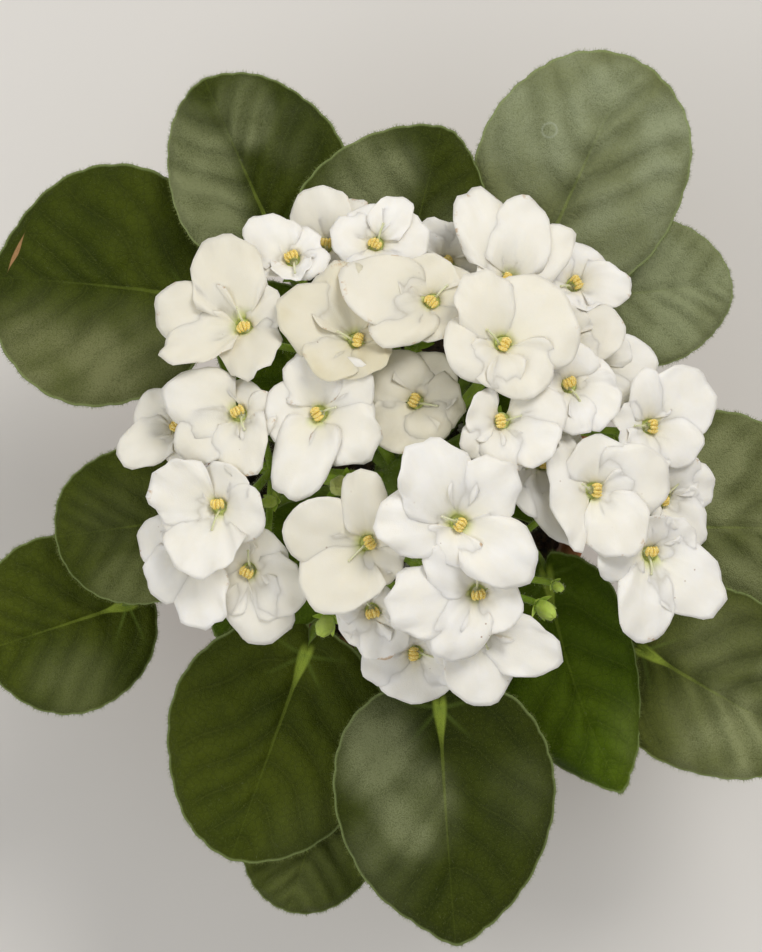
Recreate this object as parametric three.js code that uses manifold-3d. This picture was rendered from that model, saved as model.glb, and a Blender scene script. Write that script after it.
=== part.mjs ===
// A white flowering african violet in a plain terracotta pot.
// Lengths are in millimetres. +Z is up, and the origin is the centre of the pot's foot.
import * as THREE from "three";
import { mergeVertices } from "three/addons/utils/BufferGeometryUtils.js";
import Module from "manifold-3d";

const wasm = await Module();
wasm.setup();

// Pot
const POT_HEIGHT = 88;
const POT_RIM_RADIUS = 53;
const POT_RIM_BAND = 21;
const POT_NECK_RADIUS = 48.5;
const POT_FOOT_RADIUS = 37;
const POT_WALL = 4.5;
const POT_FLOOR = 6;
const POT_SIDES = 26;
const DRAIN_RADIUS = 4;
const DRAIN_CIRCLE = 20;
const DRAIN_COUNT = 3;

// Soil and crown
const SOIL_LEVEL = 79;
const SOIL_BUMP = 1.4;
const CROWN_RADIUS = 8;
const CROWN_TIP_RADIUS = 5;
const CROWN_FOOT = 73;
const CROWN_TOP = 112;

// Free space left between pieces that meet
const GAP = 0.3;

// Leaves
const LEAF_THICKNESS = 1;
const LEAF_AROUND = 24;
const LEAF_RINGS = [0.5, 1];
const LEAF_LOBE = 0.15;
const LEAF_NOTCH = 0.13;
const LEAF_TOOTH = 0.035;
const LEAF_POINT = 0.25;
const LEAF_CENTRE = 0.42;
const PETIOLE_RADIUS = 1.9;

// Flower stalks
const STALK_RADIUS = 1.5;
const PEDICEL_RADIUS = 0.9;
const CALYX_RADIUS = 4.6;
const CALYX_BACK = 7;

// Flowers
const PETAL_THICKNESS = 0.65;
const PETAL_ROWS = [0.45, 0.8, 1];
const PETAL_OPEN = 14;
const PETAL_WIDEN = 1.25;
const THROAT_RADIUS = 2.8;
const ANTHER_HEIGHT = 2.2;

// Each leaf: where the blade meets its stalk, heading in degrees, length, width,
// pitch and roll in degrees, cup, arch, wave, wave phase, sideways bend, height of its stalk on the crown,
// how far behind and under the blade the stalk bends, how much broader the blade is towards the stalk,
// the share of its length that the tip stands out, and how much broader its left half is.
const LEAVES = [
  { name: "leaf_01", at: [-57, 48.5, 98], heading: 171, length: 54, width: 66, pitch: -2, roll: 4,
    cup: 3, arch: 3, wave: 1.6, phase: 0.5, bend: 3, start: 92, reach: 14, sink: 6,
    back: 0, point: 0, skew: 0 },
  { name: "leaf_02", at: [-34, 63.5, 107], heading: 114, length: 46, width: 47, pitch: 2, roll: -3,
    cup: 3, arch: 4, wave: 1.3, phase: 2.1, bend: 0, start: 98, reach: 14, sink: 8,
    back: 0.14, point: 0.01, skew: -0.12 },
  { name: "leaf_03", at: [-1.5, 45.5, 115], heading: 76, length: 48, width: 52, pitch: 2, roll: 0,
    cup: 2.5, arch: 4, wave: 1.2, phase: 0.9, bend: 0, start: 101, reach: 14, sink: 9,
    back: 0.18, point: 0, skew: 0.25 },
  { name: "leaf_04", at: [36.5, 57.5, 106], heading: 66, length: 60, width: 56, pitch: 0, roll: 2,
    cup: 3, arch: 4, wave: 1.8, phase: 3, bend: -1, start: 97, reach: 14, sink: 8,
    back: 0, point: 0, skew: 0 },
  { name: "leaf_05", at: [52, 48.5, 96], heading: 6, length: 37, width: 40, pitch: 0, roll: 0,
    cup: 2, arch: 3, wave: 1.2, phase: 1.4, bend: 0, start: 91, reach: 14, sink: 5,
    back: 0.1, point: 0, skew: 0 },
  { name: "leaf_06", at: [66, -13, 91], heading: -1, length: 50, width: 56, pitch: 2, roll: 0,
    cup: 3, arch: 4, wave: 1.4, phase: 0.2, bend: 0, start: 90, reach: 14, sink: 0,
    back: 0.1, point: 0.02, skew: 0.12 },
  { name: "leaf_07", at: [64, -46, 100], heading: -31, length: 52, width: 50, pitch: 0, roll: 2,
    cup: 3, arch: 4, wave: 1.5, phase: 2.6, bend: 1, start: 94, reach: 14, sink: 6,
    back: 0.12, point: 0.02, skew: 0.08 },
  { name: "leaf_08", at: [38, -26, 109], heading: -80, length: 58, width: 44, pitch: -2, roll: 0,
    cup: -2, arch: 4, wave: 1.8, phase: 1.1, bend: 9, start: 98, reach: 14, sink: 7,
    back: 0.26, point: 0.04, skew: -0.18 },
  { name: "leaf_09", at: [9.5, -60, 118], heading: -87, length: 61, width: 58, pitch: -2, roll: 0,
    cup: -3, arch: 5, wave: 1.4, phase: 0.4, bend: 1, start: 102, reach: 14, sink: 10,
    back: 0.16, point: 0.04, skew: 0 },
  { name: "leaf_10", at: [-26, -47, 108], heading: -110, length: 58, width: 58, pitch: -2, roll: 0,
    cup: -2, arch: 4, wave: 1.5, phase: 1.9, bend: 0, start: 97, reach: 14, sink: 8,
    back: 0.1, point: 0.01, skew: 0 },
  { name: "leaf_11", at: [-20.5, -83, 96], heading: -107, length: 36, width: 38, pitch: -2, roll: 0,
    cup: 2, arch: 3, wave: 1, phase: 2.7, bend: 0, start: 90, reach: 14, sink: 5,
    back: 0.1, point: 0, skew: 0 },
  { name: "leaf_12", at: [-74, -34, 93], heading: 198, length: 42, width: 49, pitch: 0, roll: 0,
    cup: 2.5, arch: 3, wave: 1.4, phase: 0.8, bend: 0, start: 90, reach: 14, sink: 2,
    back: 0, point: 0, skew: 0 },
  { name: "leaf_13", at: [-55, -10.5, 108], heading: 188, length: 38, width: 42, pitch: -2, roll: 0,
    cup: 2, arch: 3, wave: 1.2, phase: 2.2, bend: 0, start: 99, reach: 14, sink: 8,
    back: 0, point: 0, skew: 0 },
  { name: "leaf_14", at: [-18, -13, 105], heading: 222, length: 42, width: 30, pitch: 0, roll: 0,
    cup: 3, arch: 2, wave: 0.6, phase: 0.3, bend: 0, start: 103, reach: 8, sink: 3,
    back: 0.16, point: 0.03, skew: 0 },
  { name: "leaf_15", at: [21, 13, 106], heading: 28, length: 38, width: 30, pitch: 0, roll: 0,
    cup: 3, arch: 2, wave: 0.6, phase: 1.3, bend: 0, start: 103, reach: 8, sink: 3,
    back: 0.16, point: 0.03, skew: 0 },
  { name: "leaf_16", at: [25, -1, 103], heading: -1, length: 38, width: 22, pitch: 0, roll: 0,
    cup: 3, arch: 2, wave: 0.6, phase: 2.3, bend: 0, start: 102, reach: 8, sink: 2,
    back: 0.16, point: 0.03, skew: 0 },
  { name: "leaf_17", at: [-17, 16, 105], heading: 130, length: 44, width: 38, pitch: 0, roll: 0,
    cup: 3, arch: 2, wave: 0.6, phase: 1.8, bend: 0, start: 103, reach: 8, sink: 3,
    back: 0.16, point: 0.03, skew: 0 },
];

// Each flower: throat, lean away from the middle of the plant in degrees, and its petals.
// A petal is its heading in degrees, its reach seen from above and its width.
const BLOOMS = [
  { name: "bloom_01", at: [-40, 38, 146], lean: 24,
    petals: [[107, 24, 16], [166, 24, 15], [201, 22, 11], [40, 12, 12], [290, 14, 14]] },
  { name: "bloom_02", at: [-28, 55, 142], lean: 26,
    petals: [[66, 9, 11], [138, 15, 12], [188, 12, 9], [349, 9, 9], [280, 6, 9]] },
  { name: "bloom_03", at: [-20, 59, 132], lean: 24,
    petals: [[46, 15, 12], [98, 16, 14], [160, 10, 11], [330, 8, 10], [240, 8, 10]] },
  { name: "bloom_04", at: [-7, 59, 141], lean: 26,
    petals: [[112, 11, 10], [56, 14, 9], [5, 13, 14], [165, 12, 12], [265, 11, 13]] },
  { name: "bloom_05", at: [11, 54, 136], lean: 24,
    petals: [[128, 13, 13], [85, 11, 12], [168, 14, 11], [40, 12, 12], [300, 8, 10]] },
  { name: "bloom_06", at: [7, 44, 150], lean: 18,
    petals: [[170, 24, 17], [214, 18, 13], [105, 12, 13], [15, 12, 14], [290, 11, 14]] },
  { name: "bloom_07", at: [-12, 34, 153], lean: 16,
    petals: [[152, 22, 16], [105, 20, 15], [215, 14, 13], [290, 10, 13], [35, 10, 13]] },
  { name: "bloom_08", at: [26, 49, 146], lean: 24,
    petals: [[113, 26, 14], [77, 22, 14], [40, 21, 12], [165, 9, 13], [290, 6, 10]] },
  { name: "bloom_09", at: [24, 33, 157], lean: 16,
    petals: [[33, 20, 22], [307, 15, 15], [114, 19, 14], [190, 15, 15], [250, 11, 12]] },
  { name: "bloom_10", at: [43, 49, 137], lean: 26,
    petals: [[63, 11, 14], [357, 15, 11], [292, 8, 13], [140, 9, 11], [215, 9, 11]] },
  { name: "bloom_11", at: [41, 34, 143], lean: 22,
    petals: [[22, 15, 13], [95, 9, 11], [285, 9, 11], [190, 9, 11], [335, 10, 9]] },
  { name: "bloom_12", at: [41, 23, 150], lean: 20,
    petals: [[5, 12, 13], [325, 14, 14], [272, 13, 12], [190, 11, 12], [90, 11, 13]] },
  { name: "bloom_13", at: [49, 28, 135], lean: 26,
    petals: [[10, 16, 13], [60, 11, 11], [310, 12, 12], [180, 6, 8], [120, 8, 10]] },
  { name: "bloom_14", at: [62, 13, 138], lean: 28,
    petals: [[36, 20, 17], [94, 15, 11], [335, 15, 13], [190, 10, 12], [260, 12, 13]] },
  { name: "bloom_15", at: [47, -3, 150], lean: 20,
    petals: [[188, 11, 24], [12, 20, 17], [302, 19, 15], [80, 14, 15], [345, 13, 12]] },
  { name: "bloom_16", at: [34, 4, 146], lean: 14,
    petals: [[46, 12, 14], [262, 14, 12], [294, 23, 13], [215, 10, 11], [130, 10, 12]] },
  { name: "bloom_17", at: [24, 14, 158], lean: 12,
    petals: [[10, 16, 14], [329, 15, 14], [219, 12, 9], [165, 10, 11], [272, 13, 11]] },
  { name: "bloom_18", at: [3, 19, 148], lean: 8,
    petals: [[237, 14, 14], [61, 13, 14], [130, 14, 15], [358, 12, 13], [300, 11, 12]] },
  { name: "bloom_19", at: [-21, 16, 153], lean: 12,
    petals: [[99, 17, 13], [251, 23, 14], [45, 17, 14], [325, 16, 16], [180, 14, 15]] },
  { name: "bloom_20", at: [-41, 16, 149], lean: 20,
    petals: [[162, 20, 15], [212, 19, 13], [275, 16, 13], [50, 8, 12], [350, 9, 11]] },
  { name: "bloom_21", at: [-57, 13, 136], lean: 28,
    petals: [[150, 13, 11], [209, 17, 11], [180, 11, 9], [270, 9, 9], [60, 6, 8]] },
  { name: "bloom_22", at: [-46, -7, 150], lean: 22,
    petals: [[159, 18, 15], [246, 19, 18], [345, 12, 13], [72, 11, 13], [203, 15, 11]] },
  { name: "bloom_23", at: [-54, -18, 141], lean: 26,
    petals: [[168, 14, 13], [235, 15, 13], [286, 21, 14], [100, 9, 11], [30, 9, 11]] },
  { name: "bloom_24", at: [-39, -23, 144], lean: 20,
    petals: [[48, 11, 12], [330, 16, 15], [287, 19, 16], [140, 9, 12], [220, 13, 13]] },
  { name: "bloom_25", at: [-9, -16, 158], lean: 10,
    petals: [[95, 19, 10], [166, 21, 16], [226, 21, 17], [10, 9, 14], [290, 11, 13]] },
  { name: "bloom_26", at: [13, -11, 162], lean: 8,
    petals: [[119, 22, 17], [50, 19, 15], [177, 20, 16], [325, 22, 15], [250, 11, 13]] },
  { name: "bloom_27", at: [18, -28, 156], lean: 14,
    petals: [[189, 23, 16], [242, 19, 14], [321, 12, 13], [65, 13, 11], [139, 16, 12]] },
  { name: "bloom_28", at: [18, -37, 147], lean: 20,
    petals: [[274, 20, 16], [337, 23, 13], [30, 12, 12], [215, 13, 13], [110, 7, 9]] },
  { name: "bloom_29", at: [-8, -33, 147], lean: 14,
    petals: [[140, 9, 11], [200, 9, 12], [244, 10, 12], [292, 13, 13], [40, 7, 9]] },
  { name: "bloom_30", at: [3, -44, 140], lean: 20,
    petals: [[196, 14, 13], [275, 13, 18], [335, 12, 11], [60, 7, 10], [130, 9, 11]] },
  { name: "bloom_31", at: [62, -19, 140], lean: 26,
    petals: [[190, 15, 10], [262, 23, 15], [324, 23, 16], [90, 10, 13], [25, 13, 13]] },
  { name: "bloom_32", at: [66, -5, 134], lean: 28,
    petals: [[58, 13, 10], [20, 14, 12], [312, 16, 12], [340, 11, 9], [190, 6, 8]] },
];

// Each flower stalk: heading and height where it leaves the crown, its fork,
// the flowers that it carries, and its buds or spent flowers with their radius.
const SPRAYS = [
  { name: "spray_1", heading: 124, start: 107, fork: [-20, 32, 126],
    blooms: [1, 2, 3, 7], buds: [] },
  { name: "spray_2", heading: 86, start: 107, fork: [2, 34, 128],
    blooms: [4, 5, 6, 18], buds: [] },
  { name: "spray_3", heading: 52, start: 107, fork: [27, 33, 126],
    blooms: [8, 9, 10, 11], buds: [[19, 42, 141, 2.2]] },
  { name: "spray_4", heading: 21, start: 108, fork: [35, 14, 127],
    blooms: [12, 13, 14, 17], buds: [[57, 11, 127, 1.8]] },
  { name: "spray_5", heading: -8, start: 107, fork: [42, -6, 126],
    blooms: [15, 16, 31, 32], buds: [[30, -17, 138, 1.6]] },
  { name: "spray_6", heading: -76, start: 107, fork: [5, -24, 130],
    blooms: [25, 26, 27, 28, 29, 30],
    buds: [[36, -33.5, 137, 2.2], [-20, -37.5, 136, 2.3], [39, -27.5, 139, 1.2]] },
  { name: "spray_7", heading: 178, start: 108, fork: [-34, 2, 126],
    blooms: [19, 20, 21, 22, 23, 24], buds: [[-16, -2, 143, 2.6], [-34, -6, 138, 1.6]] },
];

const radians = THREE.MathUtils.degToRad;
const UP = new THREE.Vector3(0, 0, 1);

function vector(values) {
  return new THREE.Vector3(values[0], values[1], values[2]);
}

// Solid from a closed geometry, with its shared corners merged.
function solidOf(geometry) {
  const bare = geometry.index ? geometry.toNonIndexed() : geometry.clone();
  bare.deleteAttribute("normal");
  bare.deleteAttribute("uv");
  const merged = mergeVertices(bare, 1e-4);
  const mesh = new wasm.Mesh({
    numProp: 3,
    vertProperties: merged.attributes.position.array,
    triVerts: new Uint32Array(merged.index.array),
  });
  return new wasm.Manifold(mesh);
}

// Sheet with thickness: the same triangles on both faces, joined round the rim.
function slab(top, under, triangles, rim) {
  const shift = top.length;
  const faces = [...triangles];
  for (const [a, b, c] of triangles) {
    faces.push([a + shift, c + shift, b + shift]);
  }
  rim.forEach((a, index) => {
    const b = rim[(index + 1) % rim.length];
    faces.push([a, a + shift, b + shift]);
    faces.push([a, b + shift, b]);
  });
  const geometry = new THREE.BufferGeometry().setFromPoints([...top, ...under]);
  geometry.setIndex(faces.flat());
  return solidOf(geometry);
}

// Solid of revolution about Z from pairs of radius and height.
function turned(profile, sides) {
  const outline = profile.map(([radius, height]) => new THREE.Vector2(radius, height));
  return solidOf(new THREE.LatheGeometry(outline, sides).rotateX(Math.PI / 2));
}

// Round bar along a curve.
function stem(curve, steps, sides, radius) {
  const corners = [];
  for (let side = 0; side < sides; side += 1) {
    const angle = (2 * Math.PI * side) / sides;
    corners.push(new THREE.Vector2(radius * Math.cos(angle), radius * Math.sin(angle)));
  }
  const section = new THREE.Shape(corners);
  return solidOf(new THREE.ExtrudeGeometry(section, {
    steps,
    extrudePath: curve,
    bevelEnabled: false,
  }));
}

// Upright round bar between two heights.
function post(x, y, from, to, radiusFrom, radiusTo, sides) {
  const geometry = new THREE.CylinderGeometry(radiusTo, radiusFrom, to - from, sides);
  geometry.rotateX(Math.PI / 2).translate(x, y, (from + to) / 2);
  return solidOf(geometry);
}

// Small eight sided body, longer along the given axis.
function bead(centre, axis, long, wide) {
  const geometry = new THREE.OctahedronGeometry(1).scale(wide, wide, long);
  geometry.applyQuaternion(new THREE.Quaternion().setFromUnitVectors(UP, axis));
  return solidOf(geometry.translate(centre.x, centre.y, centre.z));
}

function largestPiece(solid) {
  const pieces = solid.decompose();
  pieces.sort((a, b) => b.volume() - a.volume());
  return pieces[0];
}

// Pot with its rim band, open inside, and drainage holes clear of the middle of the foot.
function potSolid() {
  const band = POT_HEIGHT - POT_RIM_BAND;
  let pot = turned([
    [0, 0],
    [POT_FOOT_RADIUS - 1, 0],
    [POT_FOOT_RADIUS, 1],
    [POT_NECK_RADIUS - 0.6, band],
    [POT_RIM_RADIUS - 0.8, band],
    [POT_RIM_RADIUS, band + 1.2],
    [POT_RIM_RADIUS, POT_HEIGHT - 1.5],
    [POT_RIM_RADIUS - 1.5, POT_HEIGHT],
    [POT_RIM_RADIUS - POT_WALL, POT_HEIGHT],
    [POT_NECK_RADIUS - POT_WALL + 1, band],
    [POT_FOOT_RADIUS - POT_WALL, POT_FLOOR],
    [0, POT_FLOOR],
  ], POT_SIDES);
  for (let hole = 0; hole < DRAIN_COUNT; hole += 1) {
    const angle = (2 * Math.PI * (hole + 0.5)) / DRAIN_COUNT;
    const x = DRAIN_CIRCLE * Math.cos(angle);
    const y = DRAIN_CIRCLE * Math.sin(angle);
    pot = pot.subtract(post(x, y, -1, POT_FLOOR + 1, DRAIN_RADIUS, DRAIN_RADIUS, 10));
  }
  return pot;
}

// Potting mix that fills the pot, domed on top, with a plain hole for the crown.
function soilSolid() {
  const band = POT_HEIGHT - POT_RIM_BAND;
  const neck = POT_NECK_RADIUS - POT_WALL + 1;
  const widening = (POT_RIM_RADIUS - POT_WALL - neck) / POT_RIM_BAND;
  const brim = neck + widening * (SOIL_LEVEL - band);
  const soil = turned([
    [0, POT_FLOOR + GAP],
    [POT_FOOT_RADIUS - POT_WALL - 2 * GAP, POT_FLOOR + GAP],
    [neck - 2 * GAP, band],
    [brim - 2 * GAP, SOIL_LEVEL - SOIL_BUMP],
    [0.8 * brim, SOIL_LEVEL],
    [0.5 * brim, SOIL_LEVEL - SOIL_BUMP / 2],
    [0, SOIL_LEVEL + SOIL_BUMP],
  ], POT_SIDES);
  const hole = CROWN_RADIUS + GAP;
  return soil.subtract(post(0, 0, CROWN_FOOT - GAP, SOIL_LEVEL + 5, hole, hole, 14));
}

// Crown of the plant, widest at the foot. A margin makes the larger copy that cuts what meets it.
function crownSolid(margin) {
  const foot = CROWN_RADIUS + margin;
  const tip = CROWN_TIP_RADIUS + margin;
  return post(0, 0, CROWN_FOOT, CROWN_TOP + margin, foot, tip, 14);
}

// Outline of the blade in its own plane: turn is 0 at the tip and half a turn at the notch.
function leafOutline(leaf, turn, scale) {
  const lobe = LEAF_LOBE * leaf.width;
  const half = (leaf.length + lobe) / 2;
  const notch = lobe * Math.exp(-(((Math.PI - Math.abs(turn)) / LEAF_NOTCH) ** 2));
  const point = leaf.point * leaf.length * Math.exp(-((turn / LEAF_POINT) ** 2));
  const broad = (1 - leaf.back * Math.cos(turn)) * (1 + leaf.skew * Math.tanh(4 * turn));
  return [
    (leaf.length - lobe) / 2 + half * Math.cos(turn) * scale + notch + point,
    (leaf.width / 2) * Math.sin(turn) * broad * scale,
  ];
}

// Waved blade over its plane: a point of the plane in, a point in space out.
function leafForm(leaf, x, y, ring, turn) {
  const along = x / leaf.length;
  const across = (2 * y) / leaf.width;
  const cup = leaf.cup * across * across;
  const arch = -leaf.arch * along * along;
  const wave = leaf.wave * ring * ring * Math.sin(3 * turn + leaf.phase);
  return vector([x, y + leaf.bend * along * along, cup + arch + wave]);
}

function leafMatrix(leaf) {
  const turn = new THREE.Euler(radians(leaf.roll), -radians(leaf.pitch), radians(leaf.heading), "ZYX");
  return new THREE.Matrix4().makeRotationFromEuler(turn).setPosition(vector(leaf.at));
}

// Blade of a leaf with its toothed, waved edge and heart shaped foot.
function bladeSolid(leaf) {
  const matrix = leafMatrix(leaf);
  const centre = LEAF_CENTRE * leaf.length;
  const sheet = [leafForm(leaf, centre, 0, 0, 0)];
  for (const ring of LEAF_RINGS) {
    for (let step = 0; step < LEAF_AROUND; step += 1) {
      const turn = (2 * Math.PI * step) / LEAF_AROUND - Math.PI;
      const scale = ring === 1 && step % 2 === 1 ? 1 - LEAF_TOOTH : 1;
      const [x, y] = leafOutline(leaf, turn, scale);
      sheet.push(leafForm(leaf, centre + ring * (x - centre), ring * y, ring, turn));
    }
  }
  const triangles = [];
  const rim = [];
  for (let step = 0; step < LEAF_AROUND; step += 1) {
    const beside = (step + 1) % LEAF_AROUND;
    triangles.push([0, 1 + step, 1 + beside]);
    for (let row = 1; row < LEAF_RINGS.length; row += 1) {
      const inner = 1 + (row - 1) * LEAF_AROUND;
      const outer = 1 + row * LEAF_AROUND;
      triangles.push([inner + step, outer + step, outer + beside]);
      triangles.push([inner + step, outer + beside, inner + beside]);
    }
    rim.push(1 + (LEAF_RINGS.length - 1) * LEAF_AROUND + step);
  }
  const offset = (amount) => (point) =>
    point.clone().add(new THREE.Vector3(0, 0, amount)).applyMatrix4(matrix);
  const top = sheet.map(offset(LEAF_THICKNESS / 2));
  const under = sheet.map(offset(-LEAF_THICKNESS / 2));
  return slab(top, under, triangles, rim);
}

// Stalk of a leaf, from the crown over the pot's rim to a little way under the blade.
function petioleSolid(leaf) {
  const matrix = leafMatrix(leaf);
  const end = vector([4, 0, -LEAF_THICKNESS / 2 - 0.6]).applyMatrix4(matrix);
  const before = vector([-leaf.reach, 0, -leaf.sink]).applyMatrix4(matrix);
  const direction = Math.atan2(leaf.at[1], leaf.at[0]);
  const foot = vector([3 * Math.cos(direction), 3 * Math.sin(direction), leaf.start]);
  return stem(new THREE.QuadraticBezierCurve3(foot, before, end), 4, 5, PETIOLE_RADIUS);
}

function leafSolid(leaf) {
  const whole = bladeSolid(leaf).add(petioleSolid(leaf));
  return largestPiece(whole.subtract(crownSolid(GAP)));
}

// Direction that a flower faces: up, and leaning away from the middle of the plant.
function facing(bloom) {
  const lean = radians(bloom.lean);
  const away = Math.atan2(bloom.at[1], bloom.at[0]);
  return vector([
    Math.sin(lean) * Math.cos(away),
    Math.sin(lean) * Math.sin(away),
    Math.cos(lean),
  ]);
}

// Petals in order round the throat, each with the limits of its sector.
function sectors(bloom) {
  const petals = bloom.petals.toSorted((a, b) => a[0] - b[0]);
  return petals.map(([heading, reach, width], index) => {
    const last = petals[(index + petals.length - 1) % petals.length][0];
    const next = petals[(index + 1) % petals.length][0];
    const before = (heading - last + 360) % 360;
    const after = (next - heading + 360) % 360;
    return { heading, reach, width, from: heading - before / 2, to: heading + after / 2 };
  });
}

// A point of a petal. Along runs from 0 at the throat to 1 at the tip, and across from -1 to 1.
// The petal keeps to its own sector seen from above, so neighbours never cross.
function petalPoint(bloom, petal, along, across, margin) {
  const normal = facing(bloom);
  const away = Math.atan2(bloom.at[1], bloom.at[0]);
  const heading = radians(petal.heading);
  const lift = PETAL_OPEN - bloom.lean * Math.cos(heading - away);
  const rise = radians(Math.min(lift, 55));
  const direction = vector([
    Math.cos(rise) * Math.cos(heading),
    Math.cos(rise) * Math.sin(heading),
    Math.sin(rise),
  ]);
  const side = normal.clone().cross(direction).normalize();
  const up = direction.clone().cross(side);
  const length = petal.reach / Math.cos(rise) + margin;
  const half = (PETAL_WIDEN * petal.width) / 2 + margin;
  const spread = 0.3 + 0.7 * Math.sin(0.6 * Math.PI * along ** 1.25);
  const wave = Math.sin(2.2 * across + petal.heading) * 0.07 * petal.width * along * along;
  const dome = 0.3 * length * along * (1 - along);
  const offset = direction.clone().multiplyScalar(length * (along - 0.3 * across ** 2 * along ** 3));
  offset.addScaledVector(side, half * spread * across);
  offset.addScaledVector(up, dome + wave - 0.8 * (1 - along));
  const flat = Math.hypot(offset.x, offset.y);
  const middle = radians((petal.from + petal.to) / 2);
  const room = radians((petal.to - petal.from) / 2) - Math.min(GAP / flat, 0.1);
  const turn = Math.atan2(offset.y, offset.x) - middle;
  const wrapped = Math.atan2(Math.sin(turn), Math.cos(turn));
  const angle = middle + THREE.MathUtils.clamp(wrapped, -room, room);
  offset.x = flat * Math.cos(angle);
  offset.y = flat * Math.sin(angle);
  return offset.add(vector(bloom.at));
}

// Whole flower as one sheet: petals round a throat that narrows behind into the tube,
// and rises in the middle into the anthers. A margin makes the larger copy that cuts neighbours.
function bloomSolid(bloom, margin) {
  const normal = facing(bloom);
  const throat = vector(bloom.at);
  const petals = sectors(bloom);
  const top = [throat.clone().addScaledVector(normal, ANTHER_HEIGHT + margin)];
  const under = [throat.clone().addScaledVector(normal, GAP - CALYX_BACK - margin)];
  const place = (point, thickness) => {
    const lift = new THREE.Vector3(0, 0, thickness / 2 + margin);
    top.push(point.clone().add(lift));
    under.push(point.clone().sub(lift));
    return top.length - 1;
  };
  const ringPoint = (degrees) => {
    const angle = radians(degrees);
    const point = vector([THROAT_RADIUS * Math.cos(angle), THROAT_RADIUS * Math.sin(angle), 0]);
    point.z = -(point.x * normal.x + point.y * normal.y) / normal.z - 0.8;
    return point.add(throat);
  };
  const joints = petals.map((petal) => place(ringPoint(petal.from), PETAL_THICKNESS + 0.1));
  const triangles = [];
  const rim = [];
  petals.forEach((petal, index) => {
    const start = joints[index];
    const end = joints[(index + 1) % joints.length];
    const root = place(ringPoint((petal.from + petal.to) / 2), PETAL_THICKNESS + 0.1);
    triangles.push([0, start, root]);
    triangles.push([0, root, end]);
    let last = [start, root, end];
    const left = [];
    const right = [];
    for (const along of PETAL_ROWS) {
      const row = [-1, 0, 1].map((across) =>
        place(petalPoint(bloom, petal, along, across, margin), 1.15 * PETAL_THICKNESS));
      for (const column of [0, 1]) {
        triangles.push([last[column], row[column], row[column + 1]]);
        triangles.push([last[column], row[column + 1], last[column + 1]]);
      }
      left.push(row[0]);
      right.unshift(row[2]);
      last = row;
    }
    rim.push(start, ...left, last[1], ...right);
  });
  return slab(top, under, triangles, rim);
}

// Green star of five sepals behind a flower.
function calyxSolid(centre, normal, margin) {
  const turn = new THREE.Quaternion().setFromUnitVectors(UP, normal);
  const place = (x, y, z) => vector([x, y, z]).applyQuaternion(turn).add(centre);
  const points = [place(0, 0, margin), place(0, 0, -2 - margin)];
  const faces = [];
  for (let step = 0; step < 10; step += 1) {
    const angle = (Math.PI * step) / 5;
    const tip = step % 2 === 0;
    const reach = (tip ? CALYX_RADIUS : 1.8) + margin;
    const height = tip ? 0.3 * CALYX_RADIUS : -0.4;
    points.push(place(reach * Math.cos(angle), reach * Math.sin(angle), height));
    const beside = 2 + ((step + 1) % 10);
    faces.push([0, 2 + step, beside]);
    faces.push([1, beside, 2 + step]);
  }
  const geometry = new THREE.BufferGeometry().setFromPoints(points);
  geometry.setIndex(faces.flat());
  return solidOf(geometry);
}

// Flower stalk with its fork, the stalks of its flowers, calyces and buds.
function spraySolid(spray, margin) {
  const heading = radians(spray.heading);
  const foot = vector([2 * Math.cos(heading), 2 * Math.sin(heading), spray.start - 2]);
  const knee = vector([13 * Math.cos(heading), 13 * Math.sin(heading), spray.start + 4]);
  const fork = vector(spray.fork);
  const main = new THREE.QuadraticBezierCurve3(foot, knee, fork);
  let whole = stem(main, 4, 6, STALK_RADIUS + margin);
  for (const number of spray.blooms) {
    const bloom = BLOOMS[number - 1];
    const normal = facing(bloom);
    const seat = vector(bloom.at).addScaledVector(normal, -CALYX_BACK);
    const below = seat.clone().addScaledVector(normal, -8);
    const tip = seat.clone().addScaledVector(normal, -1);
    const branch = new THREE.QuadraticBezierCurve3(fork, below, tip);
    whole = whole.add(stem(branch, 2, 4, PEDICEL_RADIUS + margin));
    whole = whole.add(calyxSolid(seat, normal, margin));
  }
  for (const [x, y, z, radius] of spray.buds) {
    const centre = vector([x, y, z]);
    const outward = vector([x, y, 60]).normalize();
    const below = centre.clone().addScaledVector(outward, -6);
    const branch = new THREE.QuadraticBezierCurve3(fork, below, centre);
    whole = whole.add(stem(branch, 2, 4, PEDICEL_RADIUS + margin));
    whole = whole.add(bead(centre, outward, 1.8 * radius + margin, radius + margin));
  }
  return margin > 0 ? whole : whole.subtract(crownSolid(GAP));
}

function boxesMeet(first, second) {
  const a = first.boundingBox();
  const b = second.boundingBox();
  return [0, 1, 2].every((axis) => a.min[axis] < b.max[axis] && b.min[axis] < a.max[axis]);
}

function cutBy(solid, cutters) {
  let left = solid;
  for (const cutter of cutters) {
    if (boxesMeet(left, cutter)) {
      left = left.subtract(cutter);
    }
  }
  return largestPiece(left);
}

// Named mesh with its own material.
function piece(name, solid, color, roughness) {
  const shape = solid.getMesh();
  const geometry = new THREE.BufferGeometry();
  geometry.setAttribute("position", new THREE.BufferAttribute(shape.vertProperties, 3));
  geometry.setIndex(new THREE.BufferAttribute(shape.triVerts, 1));
  geometry.computeVertexNormals();
  const skin = new THREE.MeshStandardMaterial({ name, color, roughness, metalness: 0 });
  const mesh = new THREE.Mesh(geometry, skin);
  mesh.name = name;
  return mesh;
}

const potting = new THREE.Group();
potting.add(piece("pot", potSolid(), 0xb8623c, 0.85));
potting.add(piece("soil", soilSolid(), 0x2b211b, 1));

const foliage = new THREE.Group();
foliage.add(piece("crown", crownSolid(0), 0x6f7d3a, 0.8));
for (const leaf of LEAVES) {
  foliage.add(piece(leaf.name, leafSolid(leaf), 0x3f5a2a, 0.75));
}

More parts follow.
